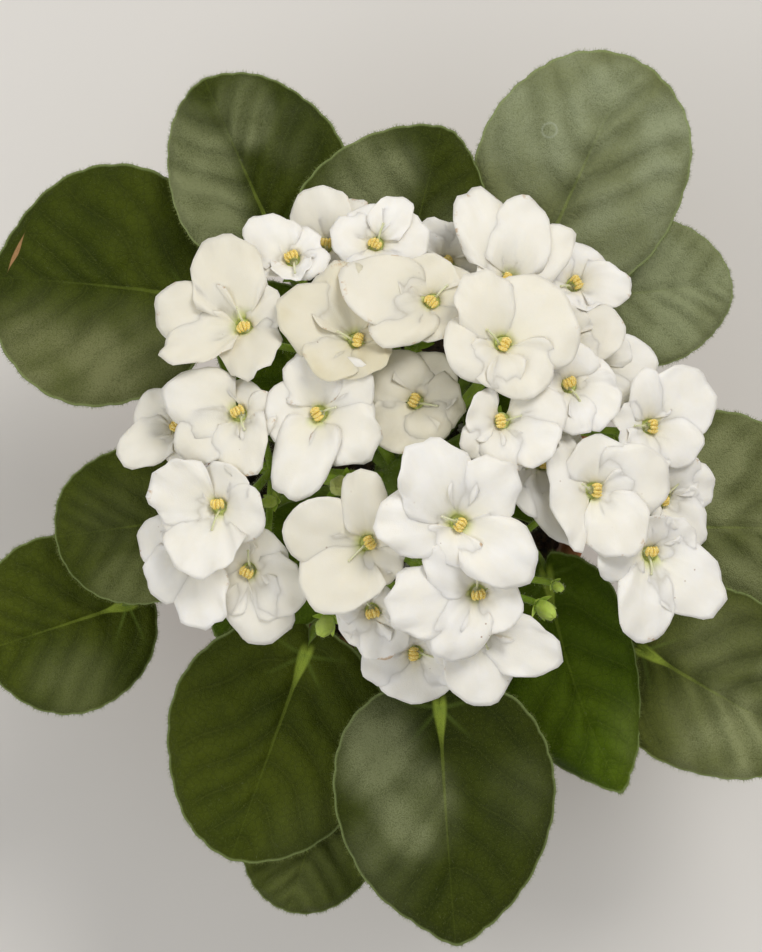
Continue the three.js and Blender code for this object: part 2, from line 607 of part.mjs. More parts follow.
const flowers = new THREE.Group();
for (const spray of SPRAYS) {
  flowers.add(piece(spray.name, spraySolid(spray, 0), 0x7d8c4a, 0.7));
}
// A flower gives way to the stalks, and to the flowers that stand higher than it.
const cutters = SPRAYS.map((spray) => spraySolid(spray, GAP));
for (const bloom of BLOOMS.toSorted((a, b) => b.at[2] - a.at[2])) {
  flowers.add(piece(bloom.name, cutBy(bloomSolid(bloom, 0), cutters), 0xf4f1ea, 0.6));
  cutters.push(bloomSolid(bloom, GAP));
}

const plant = new THREE.Group();
plant.add(potting, foliage, flowers);

export default plant;
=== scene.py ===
"""Looks of the potted african violet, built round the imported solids, in millimetres until a mesh is made."""
import math
from collections import namedtuple

import bpy
import numpy as np
from mathutils import Matrix


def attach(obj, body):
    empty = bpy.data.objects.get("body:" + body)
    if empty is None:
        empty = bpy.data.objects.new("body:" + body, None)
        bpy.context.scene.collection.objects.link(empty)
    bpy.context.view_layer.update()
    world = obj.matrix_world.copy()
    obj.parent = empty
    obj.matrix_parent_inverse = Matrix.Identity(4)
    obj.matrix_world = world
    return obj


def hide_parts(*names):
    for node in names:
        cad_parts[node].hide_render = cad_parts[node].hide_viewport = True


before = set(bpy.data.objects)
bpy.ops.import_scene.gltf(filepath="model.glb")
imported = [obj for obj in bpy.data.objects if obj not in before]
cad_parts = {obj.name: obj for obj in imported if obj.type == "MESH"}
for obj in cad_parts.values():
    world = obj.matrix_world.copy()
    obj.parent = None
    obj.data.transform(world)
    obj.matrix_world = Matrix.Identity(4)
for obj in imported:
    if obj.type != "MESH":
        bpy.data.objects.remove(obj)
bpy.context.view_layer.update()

# Measures shared with the solids. A profile is radius and height, turned round the upright axis.
POT_PROFILE = [
    (0, 0), (34.5, 0), (36.3, 0.5), (37.2, 1.8), (47.6, 65.6), (48.4, 66.7), (51.6, 67.1), (52.7, 67.8),
    (53, 69), (53, 85.6), (52.6, 87.2), (51.5, 88), (49.6, 88), (48.7, 87.4), (48.3, 86), (45.4, 67),
    (33.2, 7.4), (32.2, 6.2), (31, 6), (0, 6),
]
DRAIN_RADIUS = 4
DRAIN_CIRCLE = 20
DRAIN_COUNT = 3
SOIL_PROFILE = [(0, 6.3), (31.9, 6.3), (44.4, 67), (46.4, 77.6)]
SOIL_TOP = [(0, 80.4), (9, 79.7), (23.5, 78.3), (37.6, 79), (46.4, 77.6)]
CROWN_PROFILE = [(0, 73), (8, 73), (7.4, 84), (6.6, 94), (5.8, 104), (5, 110), (3.6, 111.7), (0, 112)]
CALYX_BACK = 7
PETAL_OPEN = 14

# Measures of this script alone: ends of the drill, radius of a flower's throat, where a petal starts, swing
# of its edge in radians, heights at which the five petals lie, and half the thickness of each sheet.
DRILL_ENDS = (-3, 9)
THROAT_RADIUS = 2.0
PETAL_START = 1.9
PETAL_SWING = 1.9
PETAL_LAYERS = (0.0, 0.7, 0.15, 0.85, 0.45)
BLADE_THICKNESS = 0.55
PETAL_THICKNESS = 0.26
SEPAL_THICKNESS = 0.3

# Fineness of the meshes: rows and columns of a sheet, and points along and round the other forms
PETAL_GRID = (16, 19)
SEPAL_GRID = (9, 7)
PETIOLE_STEPS, PETIOLE_SIDES = 26, 14
MAIN_STALK_STEPS, MAIN_STALK_SIDES = 28, 12
FLOWER_STALK_STEPS, FLOWER_STALK_SIDES = 22, 9
BUD_STALK_STEPS, BUD_STALK_SIDES = 18, 9
FILAMENT_STEPS, STYLE_STEPS, THREAD_SIDES = 8, 12, 7
THROAT_SIDES = 24
CALYX_SIDES = 14
CROWN_SIDES = 48
SOIL_SIDES = 120
POT_SIDES = 120
DRILL_SIDES = 32

# Seeds of the random draws. The number of a leaf, flower or flower stalk is added to its seed.
LEAF_SEED = 99
BLOOM_SEED = 500
SPRAY_SEED = 900
CROWN_SEED = 31
CRUMB_SEED = 77

# Crumbs on the soil: how many are tried, one in how many is white, and within which radii each may lie.
CRUMB_COUNT = 1300
CRUMBS_TO_WHITE = 19
CRUMB_SPREAD = 45
CRUMB_LIMITS = (8.5, 45.6)

# A wide blade has more points and hairs. Each pair is for a wide blade and for a narrow one.
WIDE_BLADE = 35
BLADE_AROUND = (132, 90)
BLADE_RINGS = (26, 18)
RIM_RINGS = [0.955, 0.975, 0.99, 1.0]

# Hairs of each place: how many, length, lean away from upright, and width.
HAIRS = {
    "top": (5200, 0.9, 0.45, 0.05),
    "under": (1300, 0.8, 0.4, 0.07),
    "rim": (1300, 0.95, 0.45, 0.08),
    "petiole": (1500, 1.1, 0.35, 0.075),
    "main stalk": (700, 0.95, 0.3, 0.07),
    "flower stalk": (420, 0.95, 0.3, 0.07),
    "bud stalk": (320, 0.95, 0.3, 0.07),
    "calyx": (120, 0.9, 0.35, 0.07),
    "bud": (160, 0.8, 0.35, 0.07),
    "crown": (2200, 1.0, 0.35, 0.075),
}
NARROW_HAIRS = {"top": 1500, "under": 300, "rim": 400, "petiole": 500}

# Forms and looks that all leaves share
LEAF_MIDDLE = 0.42
NOTCH_WIDTH = 0.04
PETIOLE_RADIUS = 1.9
MEAN_BLADE_LENGTH = 52
STAR_ANGLES = (0.85, 1.75)

# The dry slit: share of the leaf's length, distance from the midrib, half its length, and slant.
SCAR = (0.895, -7.2, 6.5, 0.0046)

# The ring of a dried drop: share of the leaf's length, distance from the midrib, radius and that length.
DROP = (0.538, 12.3, 1.9, 60)

# Looks of leaves: deep green, light green, side veins, colour of the painted sheen and strength of the
# shader's sheen. The looks are lighter and darker copies of one leaf green: grey, pale and stained are lighter
# for painted sheen, mid is lighter as painted light on leaves that the lamps leave dim, and fresh is the
# yellower green of young leaves, lightened further as painted light.
LEAF_LOOKS = {
    "dark": ((0.022, 0.032, 0.0015), (0.040, 0.053, 0.003), (0.07, 0.09, 0.010), (0.20, 0.22, 0.105), 0.0),
    "mid": ((0.034, 0.048, 0.002), (0.058, 0.075, 0.004), (0.10, 0.12, 0.015), (0.20, 0.22, 0.085), 0.0),
    "grey": ((0.042, 0.054, 0.006), (0.078, 0.092, 0.014), (0.12, 0.14, 0.03), (0.25, 0.27, 0.125), 0.05),
    "pale": ((0.10, 0.115, 0.038), (0.155, 0.17, 0.064), (0.18, 0.20, 0.08), (0.29, 0.32, 0.175), 0.08),
    "fresh": ((0.046, 0.083, 0.001), (0.071, 0.113, 0.003), (0.13, 0.19, 0.012), (0.20, 0.24, 0.08), 0.0),
    "scarred": ((0.028, 0.040, 0.0015), (0.050, 0.066, 0.003), (0.08, 0.10, 0.010), (0.19, 0.20, 0.085), 0.0),
    "stained": ((0.10, 0.115, 0.038), (0.155, 0.17, 0.064), (0.18, 0.20, 0.08), (0.29, 0.32, 0.19), 0.08),
}
RIB_GREEN = (0.30, 0.39, 0.05)
STAR_GREEN = (0.20, 0.30, 0.05)
FUZZ_GREEN = (0.30, 0.34, 0.10)
RIM_GREEN = (0.28, 0.35, 0.13)
SCAR_BROWN = (0.40, 0.22, 0.10)
DROP_GREY = (0.42, 0.46, 0.36)
BACK_GREENS = ((0.16, 0.21, 0.08), (0.24, 0.29, 0.14))
BACK_VEIN = (0.36, 0.42, 0.18)

# Each leaf: joint of blade and stalk, heading, length, width, pitch, roll, cup, arch, wave, phase, bend,
# height of the stalk on the crown, reach and sink of the stalk, breadth at the back, point, skew and look.
Leaf = namedtuple("Leaf", "at heading length width pitch roll cup arch wave phase bend start reach sink "
                          "back point skew look")
LEAVES = [
    ((-57, 48.5, 98), 171, 54, 66, -2, 4, 3, 3, 1.6, 0.5, 3, 92, 14, 6, 0, 0, 0, "scarred"),
    ((-34, 63.5, 107), 114, 46, 47, 2, -3, 3, 4, 1.3, 2.1, 0, 98, 14, 8, 0.14, 0.01, -0.12, "dark"),
    ((-1.5, 45.5, 115), 76, 48, 52, 2, 0, 2.5, 4, 1.2, 0.9, 0, 101, 14, 9, 0.18, 0, 0.25, "dark"),
    ((36.5, 57.5, 106), 66, 60, 56, 0, 2, 3, 4, 1.8, 3, -1, 97, 14, 8, 0, 0, 0, "stained"),
    ((52, 48.5, 96), 6, 37, 40, 0, 0, 2, 3, 1.2, 1.4, 0, 91, 14, 5, 0.1, 0, 0, "pale"),
    ((66, -13, 91), -1, 50, 56, 2, 0, 3, 4, 1.4, 0.2, 0, 90, 14, 0, 0.1, 0.02, 0.12, "grey"),
    ((64, -46, 100), -31, 52, 50, 0, 2, 3, 4, 1.5, 2.6, 1, 94, 14, 6, 0.12, 0.02, 0.08, "grey"),
    ((38, -26, 109), -80, 58, 44, -2, 0, -2, 4, 1.8, 1.1, 9, 98, 14, 7, 0.26, 0.04, -0.18, "fresh"),
    ((9.5, -60, 118), -87, 61, 58, -2, 0, -3, 5, 1.4, 0.4, 1, 102, 14, 10, 0.16, 0.04, 0, "dark"),
    ((-26, -47, 108), -110, 58, 58, -2, 0, -2, 4, 1.5, 1.9, 0, 97, 14, 8, 0.1, 0.01, 0, "mid"),
    ((-20.5, -83, 96), -107, 36, 38, -2, 0, 2, 3, 1, 2.7, 0, 90, 14, 5, 0.1, 0, 0, "mid"),
    ((-74, -34, 93), 198, 42, 49, 0, 0, 2.5, 3, 1.4, 0.8, 0, 90, 14, 2, 0, 0, 0, "mid"),
    ((-55, -10.5, 108), 188, 38, 42, -2, 0, 2, 3, 1.2, 2.2, 0, 99, 14, 8, 0, 0, 0, "mid"),
    ((-18, -13, 105), 222, 42, 30, 0, 0, 3, 2, 0.6, 0.3, 0, 103, 8, 3, 0.16, 0.03, 0, "fresh"),
    ((21, 13, 106), 28, 38, 30, 0, 0, 3, 2, 0.6, 1.3, 0, 103, 8, 3, 0.16, 0.03, 0, "fresh"),
    ((25, -1, 103), -1, 38, 22, 0, 0, 3, 2, 0.6, 2.3, 0, 102, 8, 2, 0.16, 0.03, 0, "fresh"),
    ((-17, 16, 105), 130, 44, 38, 0, 0, 3, 2, 0.6, 1.8, 0, 103, 8, 3, 0.16, 0.03, 0, "fresh"),
]

# Places of painted sheen on a leaf, by its number: along it, across it from -1 to 1, radius and strength.
PAINTED_SHEEN = {
    1: [(0.3, 0.85, 0.36, 1.0), (0.75, 0.95, 0.42, 1.0)],
    2: [(0.62, 0.62, 0.34, 1.5), (0.3, 0.6, 0.27, 1.4), (0.72, -0.25, 0.2, 1.1), (0.5, -0.6, 0.2, 0.2)],
    3: [(0.6, 0.55, 0.28, 1.0), (0.4, -0.4, 0.25, 0.4)],
    4: [(0.35, -0.5, 0.36, 0.8), (0.6, 0.5, 0.42, 0.9), (0.72, 0.1, 0.26, 1.15), (0.65, -0.55, 0.25, 1.15)],
    5: [(0.5, 0.1, 0.6, 1.2)],
    6: [(0.5, 0.5, 0.36, 1.2), (0.5, -0.4, 0.3, 0.6)],
    7: [(0.3, 0.5, 0.28, 0.35), (0.65, -0.35, 0.36, 0.95), (0.7, 0.5, 0.2, 0.5)],
    8: [(0.8, 0.5, 0.2, 0.2)],
    9: [(0.16, -0.6, 0.22, 1.1), (0.42, -0.3, 0.22, 1.0), (0.65, -0.6, 0.22, 0.35), (0.4, 0.7, 0.2, 0.15)],
    10: [(0.8, 0.7, 0.3, 0.12)],
    11: [(0.6, 0.0, 0.45, 0.3)],
    12: [(0.5, 0.7, 0.3, 0.4)],
    13: [(0.5, 0.8, 0.3, 0.7), (0.5, 0.0, 0.4, 0.2)],
}

# By the number of a leaf: how brightly its midrib shows, how high the cushions between its side veins are,
# and how deep it folds along the midrib. Entry 0 is for all other leaves.
RIBS = {0: 0.55, 1: 0.35, 3: 0.45, 4: 0.5, 5: 0.3, 12: 0.9}
QUILT = {0: 0.6, 2: 1.8, 4: 1.7, 6: 1.2, 7: 1.9, 8: 1.1, 9: 0.45, 11: 1.2}
FOLD = {0: 0.6, 2: 1.8, 4: 1.8, 7: 1.2, 8: 1.2}

# Each flower: throat, lean away from the middle, and petals (heading, reach from above, width).
BLOOMS = [
    ((-40, 38, 146), 24, [(107, 24, 16), (166, 24, 15), (201, 22, 11), (40, 12, 12), (290, 14, 14)]),
    ((-28, 55, 142), 26, [(66, 9, 11), (138, 15, 12), (188, 12, 9), (349, 9, 9), (280, 6, 9)]),
    ((-20, 59, 132), 24, [(46, 15, 12), (98, 16, 14), (160, 10, 11), (330, 8, 10), (240, 8, 10)]),
    ((-7, 59, 141), 26, [(112, 11, 10), (56, 14, 9), (5, 13, 14), (165, 12, 12), (265, 11, 13)]),
    ((11, 54, 136), 24, [(128, 13, 13), (85, 11, 12), (168, 14, 11), (40, 12, 12), (300, 8, 10)]),
    ((7, 44, 150), 18, [(170, 24, 17), (214, 18, 13), (105, 12, 13), (15, 12, 14), (290, 11, 14)]),
    ((-12, 34, 153), 16, [(152, 22, 16), (105, 20, 15), (215, 14, 13), (290, 10, 13), (35, 10, 13)]),
    ((26, 49, 146), 24, [(113, 26, 14), (77, 22, 14), (40, 21, 12), (165, 9, 13), (290, 6, 10)]),
    ((24, 33, 157), 16, [(33, 20, 22), (307, 15, 15), (114, 19, 14), (190, 15, 15), (250, 11, 12)]),
    ((43, 49, 137), 26, [(63, 11, 14), (357, 15, 11), (292, 8, 13), (140, 9, 11), (215, 9, 11)]),
    ((41, 34, 143), 22, [(22, 15, 13), (95, 9, 11), (285, 9, 11), (190, 9, 11), (335, 10, 9)]),
    ((41, 23, 150), 20, [(5, 12, 13), (325, 14, 14), (272, 13, 12), (190, 11, 12), (90, 11, 13)]),
    ((49, 28, 135), 26, [(10, 16, 13), (60, 11, 11), (310, 12, 12), (180, 6, 8), (120, 8, 10)]),
    ((62, 13, 138), 28, [(36, 20, 17), (94, 15, 11), (335, 15, 13), (190, 10, 12), (260, 12, 13)]),
    ((47, -3, 150), 20, [(188, 11, 24), (12, 20, 17), (302, 19, 15), (80, 14, 15), (345, 13, 12)]),
    ((34, 4, 146), 14, [(46, 12, 14), (262, 14, 12), (294, 23, 13), (215, 10, 11), (130, 10, 12)]),
    ((24, 14, 158), 12, [(10, 16, 14), (329, 15, 14), (219, 12, 9), (165, 10, 11), (272, 13, 11)]),
    ((3, 19, 148), 8, [(237, 14, 14), (61, 13, 14), (130, 14, 15), (358, 12, 13), (300, 11, 12)]),
    ((-21, 16, 153), 12, [(99, 17, 13), (251, 23, 14), (45, 17, 14), (325, 16, 16), (180, 14, 15)]),
    ((-41, 16, 149), 20, [(162, 20, 15), (212, 19, 13), (275, 16, 13), (50, 8, 12), (350, 9, 11)]),
    ((-57, 13, 136), 28, [(150, 13, 11), (209, 17, 11), (180, 11, 9), (270, 9, 9), (60, 6, 8)]),
    ((-46, -7, 150), 22, [(159, 18, 15), (246, 19, 18), (345, 12, 13), (72, 11, 13), (203, 15, 11)]),
    ((-54, -18, 141), 26, [(168, 14, 13), (235, 15, 13), (286, 21, 14), (100, 9, 11), (30, 9, 11)]),
    ((-39, -23, 144), 20, [(48, 11, 12), (330, 16, 15), (287, 19, 16), (140, 9, 12), (220, 13, 13)]),
    ((-9, -16, 158), 10, [(95, 19, 10), (166, 21, 16), (226, 21, 17), (10, 9, 14), (290, 11, 13)]),
    ((13, -11, 162), 8, [(119, 22, 17), (50, 19, 15), (177, 20, 16), (325, 22, 15), (250, 11, 13)]),
    ((18, -28, 156), 14, [(189, 23, 16), (242, 19, 14), (321, 12, 13), (65, 13, 11), (139, 16, 12)]),
    ((18, -37, 147), 20, [(274, 20, 16), (337, 23, 13), (30, 12, 12), (215, 13, 13), (110, 7, 9)]),
    ((-8, -33, 147), 14, [(140, 9, 11), (200, 9, 12), (244, 10, 12), (292, 13, 13), (40, 7, 9)]),
    ((3, -44, 140), 20, [(196, 14, 13), (275, 13, 18), (335, 12, 11), (60, 7, 10), (130, 9, 11)]),
    ((62, -19, 140), 26, [(190, 15, 10), (262, 23, 15), (324, 23, 16), (90, 10, 13), (25, 13, 13)]),
    ((66, -5, 134), 28, [(58, 13, 10), (20, 14, 12), (312, 16, 12), (340, 11, 9), (190, 6, 8)]),
]

# How much darker and creamier a flower's petals are, by its number, where they are not nearly white: partly
# their own creamy tint, partly painted shade.
CREAM_AND_SHADE = {
    1: 0.5, 3: 0.3, 6: 0.5, 7: 1.0, 8: 0.2, 9: 0.35, 11: 0.35, 15: 0.1, 17: 0.15, 18: 0.6, 19: 0.2, 20: 0.35,
    21: 0.3, 22: 0.15, 24: 0.3, 25: 0.45,
}

# Each flower stalk: heading, height on the crown, fork, its flowers, and its buds (x, y, z, radius, kind).
SPRAYS = [
    (124, 107, (-20, 32, 126), (1, 2, 3, 7), []),
    (86, 107, (2, 34, 128), (4, 5, 6, 18), []),
    (52, 107, (27, 33, 126), (8, 9, 10, 11), [(19, 42, 141, 2.2, "withered")]),
    (21, 108, (35, 14, 127), (12, 13, 14, 17), [(57, 11, 127, 1.8, "green")]),
    (-8, 107, (42, -6, 126), (15, 16, 31, 32), [(30, -17, 138, 1.6, "green")]),
    (-76, 107, (5, -24, 130), (25, 26, 27, 28, 29, 30),
     [(36, -33.5, 137, 2.2, "green"), (-20, -37.5, 136, 2.3, "green"), (39, -27.5, 139, 1.2, "green")]),
    (178, 108, (-34, 2, 126), (19, 20, 21, 22, 23, 24),
     [(-16, -2, 143, 2.6, "white"), (-34, -6, 138, 1.6, "green")]),
]

# Turned forms of a flower: its throat and its calyx, as radius and place along the axis.
THROAT_PROFILE = [
    (1.2, -6.7), (1.5, -5.5), (1.9, -3), (2.2, -1.4), (2.4, -0.95), (2.2, -0.65), (1.7, -0.9), (1, -1.5),
    (0.05, -1.8),
]
CALYX_PROFILE = [(0.05, -2.2), (1.3, -1.9), (2.1, -0.9), (2.2, -0.2), (1.5, 0.2), (0.05, 0.2)]

# The stage: half the side of the floor, and place in metres and lens of the camera that looks straight down.
FLOOR_HALF = 4000
CAMERA_PLACE = (-0.0058, 0.0005, 0.855)
CAMERA_LENS = 107

# Light of the surroundings as colour and strength, where the lamps look, and each lamp: name, place in
# metres, size, power and colour.
SURROUNDINGS = ((1, 0.985, 0.96, 1), 0.48)
LAMP_TARGET = (0, 0, 0.1)
LAMPS = [
    ("key", (0.45, 0.75, 1.15), 0.6, 9.2, (1, 0.98, 0.95)),
    ("fill", (-0.8, -0.3, 1.0), 1.0, 4.5, (0.98, 0.99, 1)),
]


# Geometry kept in arrays until it becomes a piece
class Shape:
    """Points, faces, material numbers and per-point marks of one piece."""

    def __init__(self):
        self.points, self.marks, self.traits = [], [], []
        self.faces, self.slots = [], []
        self.count = 0

    def add(self, points, faces, mark=(0, 0, 0), trait=(0, 0, 0), slot=0):
        """New points, with their marks and faces."""
        points = np.asarray(points, float)
        self.points.append(points)
        self.marks.append(np.broadcast_to(np.asarray(mark, float), points.shape))
        self.traits.append(np.broadcast_to(np.asarray(trait, float), points.shape))
        self.join(faces, slot, self.count)
        self.count += len(points)

    def join(self, faces, slot=0, start=0):
        """More faces between points, whose numbers count from a start."""
        faces = (np.asarray(faces, int) + start).tolist()
        self.faces.extend(faces)
        self.slots.extend([slot] * len(faces))


def new_object(name, data):
    made = bpy.data.objects.new(name, data)
    bpy.context.scene.collection.objects.link(made)
    return made


def mesh_object(name, points, faces):
    """A mesh object from points in millimetres."""
    mesh = bpy.data.meshes.new(name)
    mesh.from_pydata((np.asarray(points, float) / 1000).tolist(), [], faces)
    return new_object(name, mesh)


def piece(name, shape, materials, slot, *nodes):
    """An object from a shape, riding on the plant and standing for the named solids."""
    made = mesh_object(name, np.concatenate(shape.points), shape.faces)
    mesh = made.data
    for title, values in (("mark", shape.marks), ("trait", shape.traits)):
        layer = mesh.attributes.new(title, "FLOAT_VECTOR", "POINT")
        layer.data.foreach_set("vector", np.concatenate(values).astype(np.float32).ravel())
    for material in materials:
        mesh.materials.append(material)
    mesh.polygons.foreach_set("material_index", shape.slots)
    mesh.polygons.foreach_set("use_smooth", [True] * len(mesh.polygons))
    mesh.update()
    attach(made, "root")
    if nodes:
        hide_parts(*nodes)
    return made


def unit(vectors):
    vectors = np.asarray(vectors, float)
    return vectors / np.maximum(np.linalg.norm(vectors, axis=-1, keepdims=True), 1e-9)


def smooth(low, high, value):
    """Smooth step of a value from low to high, as 0 to 1."""
    part = np.clip((value - low) / (high - low), 0, 1)
    return part * part * (3 - 2 * part)


def bell(value, width):
    return np.exp(-((value / width) ** 2))


def polar(radius, angle, height=0.0):
    """Point at a distance and an angle round the upright axis."""
    return np.array([radius * math.cos(angle), radius * math.sin(angle), height])


def angles_round(count):
    return np.arange(count) * 2 * math.pi / count


def triples(first, second, third):
    """Grids or single numbers, joined into a grid of three numbers each."""
    return np.stack(np.broadcast_arrays(first, second, third), -1)


def grid_shares(size):
    """For a grid of rows and columns: how far along each point is from 0 to 1, and across from -1 to 1."""
    return np.broadcast_arrays(np.linspace(0, 1, size[0])[:, None], np.linspace(-1, 1, size[1]))


def bezier(first, second, third, steps):
    t = np.linspace(0, 1, steps)[:, None]
    first, second, third = (np.asarray(p, float) for p in (first, second, third))
    return (1 - t) ** 2 * first + 2 * t * (1 - t) * second + t ** 2 * third


def grid_faces(rows, columns, wrap=False, start=0):
    """Quads over a grid of points, one row after another."""
    across = np.arange(columns if wrap else columns - 1)
    beside = (across + 1) % columns
    base = start + np.arange(rows - 1)[:, None] * columns
    quads = np.stack([base + across, base + beside, base + columns + beside, base + columns + across], -1)
    return quads.reshape(-1, 4)


def tube(path, radii, sides):
    """Points, quads and end triangles of a closed round stalk along a path."""
    path = np.asarray(path, float)
    radii = np.broadcast_to(np.asarray(radii, float), len(path))
    tangents = unit(np.gradient(path, axis=0))
    side = unit(np.cross(tangents[0], (0.31, 0.52, 0.79)))
    angles = angles_round(sides)
    rings = []
    for point, tangent, radius in zip(path, tangents, radii):
        side = unit(side - tangent * side.dot(tangent))
        other = np.cross(tangent, side)
        rings.append(point + radius * (np.cos(angles)[:, None] * side + np.sin(angles)[:, None] * other))
    points = np.concatenate([*rings, path[:1], path[-1:]])
    here = np.arange(sides)
    beside = (here + 1) % sides
    middle = np.full(sides, len(points) - 2)
    end = (len(path) - 1) * sides
    caps = [np.stack([middle, beside, here], 1), np.stack([middle + 1, end + here, end + beside], 1)]
    return points, grid_faces(len(path), sides, wrap=True), np.concatenate(caps)


def add_tube(shape, path, radii, sides, slot=0):
    """Add a round stalk, marked by how far along it is. Returns its points and quads."""
    points, quads, caps = tube(path, radii, sides)
    along = np.concatenate([np.repeat(np.linspace(0, 1, len(path)), sides), [0, 1]])
    start = shape.count
    shape.add(points, quads, triples(along, 0, 0), slot=slot)
    shape.join(caps, slot, start)
    return points, quads


def turned(profile, sides):
    """Points and quads of a profile turned round the upright axis."""
    radius, height = np.asarray(profile, float).T[..., None]
    angles = angles_round(sides)
    points = triples(radius * np.cos(angles), radius * np.sin(angles), height)
    return points.reshape(-1, 3), grid_faces(len(profile), sides, wrap=True)


def fine_profile(profile, step):
    """A profile with points no further apart than a step."""
    profile = np.asarray(profile, float)
    fine = [profile[:1]]
    for first, second in zip(profile, profile[1:]):
        parts = max(1, math.ceil(math.dist(first, second) / step))
        fine.append(first + (second - first) * (np.arange(1, parts + 1) / parts)[:, None])
    return np.concatenate(fine)


def ball(centre, axes, around=10, rings=7):
    """Points and quads of an ellipsoid whose half axes are the rows of axes."""
    polar_angle = np.linspace(0.02, math.pi - 0.02, rings)
    points, quads = turned(np.stack([np.sin(polar_angle), -np.cos(polar_angle)], 1), around)
    return points @ np.asarray(axes, float) + np.asarray(centre, float), quads


def frame_of(normal):
    """Two directions square to a normal, and the normal."""
    normal = unit(normal)
    first = unit(np.cross((0, 1, 0) if abs(normal[1]) < 0.9 else (1, 0, 0), normal))
    return first, np.cross(normal, first), normal


def turning(*degrees):
    """Rotation matrix from angles about x, y and z, the z turn outermost."""
    matrix = np.eye(3)
    for axis, angle in enumerate(np.radians(degrees)):
        first, second = (axis + 1) % 3, (axis + 2) % 3
        turn = np.eye(3)
        turn[first, first] = turn[second, second] = math.cos(angle)
        turn[second, first], turn[first, second] = math.sin(angle), -math.sin(angle)
        matrix = turn @ matrix
    return matrix


def add_sheet(shape, top, under, mark, trait, slot=0):
    """A closed thin sheet from two grids of points."""
    rows, columns = top.shape[:2]
    size = rows * columns
    quads = grid_faces(rows, columns)
    start = shape.count
    pairs = ((top, under), (mark, mark), (trait, trait))
    points, mark, trait = (np.concatenate(pair).reshape(-1, 3) for pair in pairs)
    shape.add(points, np.concatenate([quads[:, ::-1], quads + size]), mark, trait, slot)
    grid = np.arange(size).reshape(rows, columns)
    rim = np.concatenate([grid[0], grid[1:, -1], grid[-1, -2::-1], grid[-2:0:-1, 0]])
    beside = np.roll(rim, -1)
    shape.join(np.stack([rim, beside, beside + size, rim + size], 1), slot, start)


# Hairs
def add_spikes(hairs, root, sink, direction, length, width, low, rng):
    """Thin triangles that stand on their roots, marked from low at the root to 1 at the tip."""
    count = len(root)
    side = unit(np.cross(direction, rng.normal(size=(count, 3))))
    size = length * rng.uniform(0.6, 1.25, (count, 1))
    root = root - sink
    spikes = np.stack([root - side * width / 2, root + side * width / 2, root + direction * size], 1)
    along = np.tile([low, low, 1.0], count)
    chance = np.repeat(rng.random(count), 3)
    hairs.add(spikes.reshape(-1, 3), np.arange(count * 3).reshape(-1, 3), triples(along, chance, 0))


def hairs_of(place, narrow):
    """How many hairs a place has, their length, lean and width."""
    count, *form = HAIRS[place]
    return NARROW_HAIRS[place] if narrow else count, *form


def add_hairs(hairs, points, quads, place, rng, narrow=False, toward=(0, 0, 0)):
    """Fine hairs strewn over the quads of a surface."""
    count, length, lean, width = hairs_of(place, narrow)
    faces = np.concatenate([quads[:, :3], quads[:, [0, 2, 3]]])
    corners = points[faces]
    cross = np.cross(corners[:, 1] - corners[:, 0], corners[:, 2] - corners[:, 0])
    area = np.linalg.norm(cross, axis=1)
    chosen = rng.choice(len(faces), count, p=area / area.sum())
    first, second = rng.random((2, count, 1))
    over = first + second > 1
    first, second = np.where(over, 1 - first, first), np.where(over, 1 - second, second)
    corner = corners[chosen]
    root = corner[:, 0] + first * (corner[:, 1] - corner[:, 0]) + second * (corner[:, 2] - corner[:, 0])
    normal = unit(cross[chosen])
    direction = unit(normal + lean * rng.normal(size=(count, 3)) + np.asarray(toward, float))
    add_spikes(hairs, root, 0.05 * normal, direction, length, width, 0, rng)


def add_rim_hairs(hairs, rim, middle, rng, narrow):
    """Hairs that stand out from the edge of a leaf, away from its middle."""
    count, length, lean, width = hairs_of("rim", narrow)
    chosen = rng.integers(0, len(rim), count)
    beside = (chosen + 1) % len(rim)
    root = rim[chosen] + rng.random((count, 1)) * (rim[beside] - rim[chosen])
    direction = unit(unit(root - middle) + lean * rng.normal(size=(count, 3)) + np.array([0, 0, 0.15]))
    add_spikes(hairs, root, 0, direction, length, width, 0.3, rng)


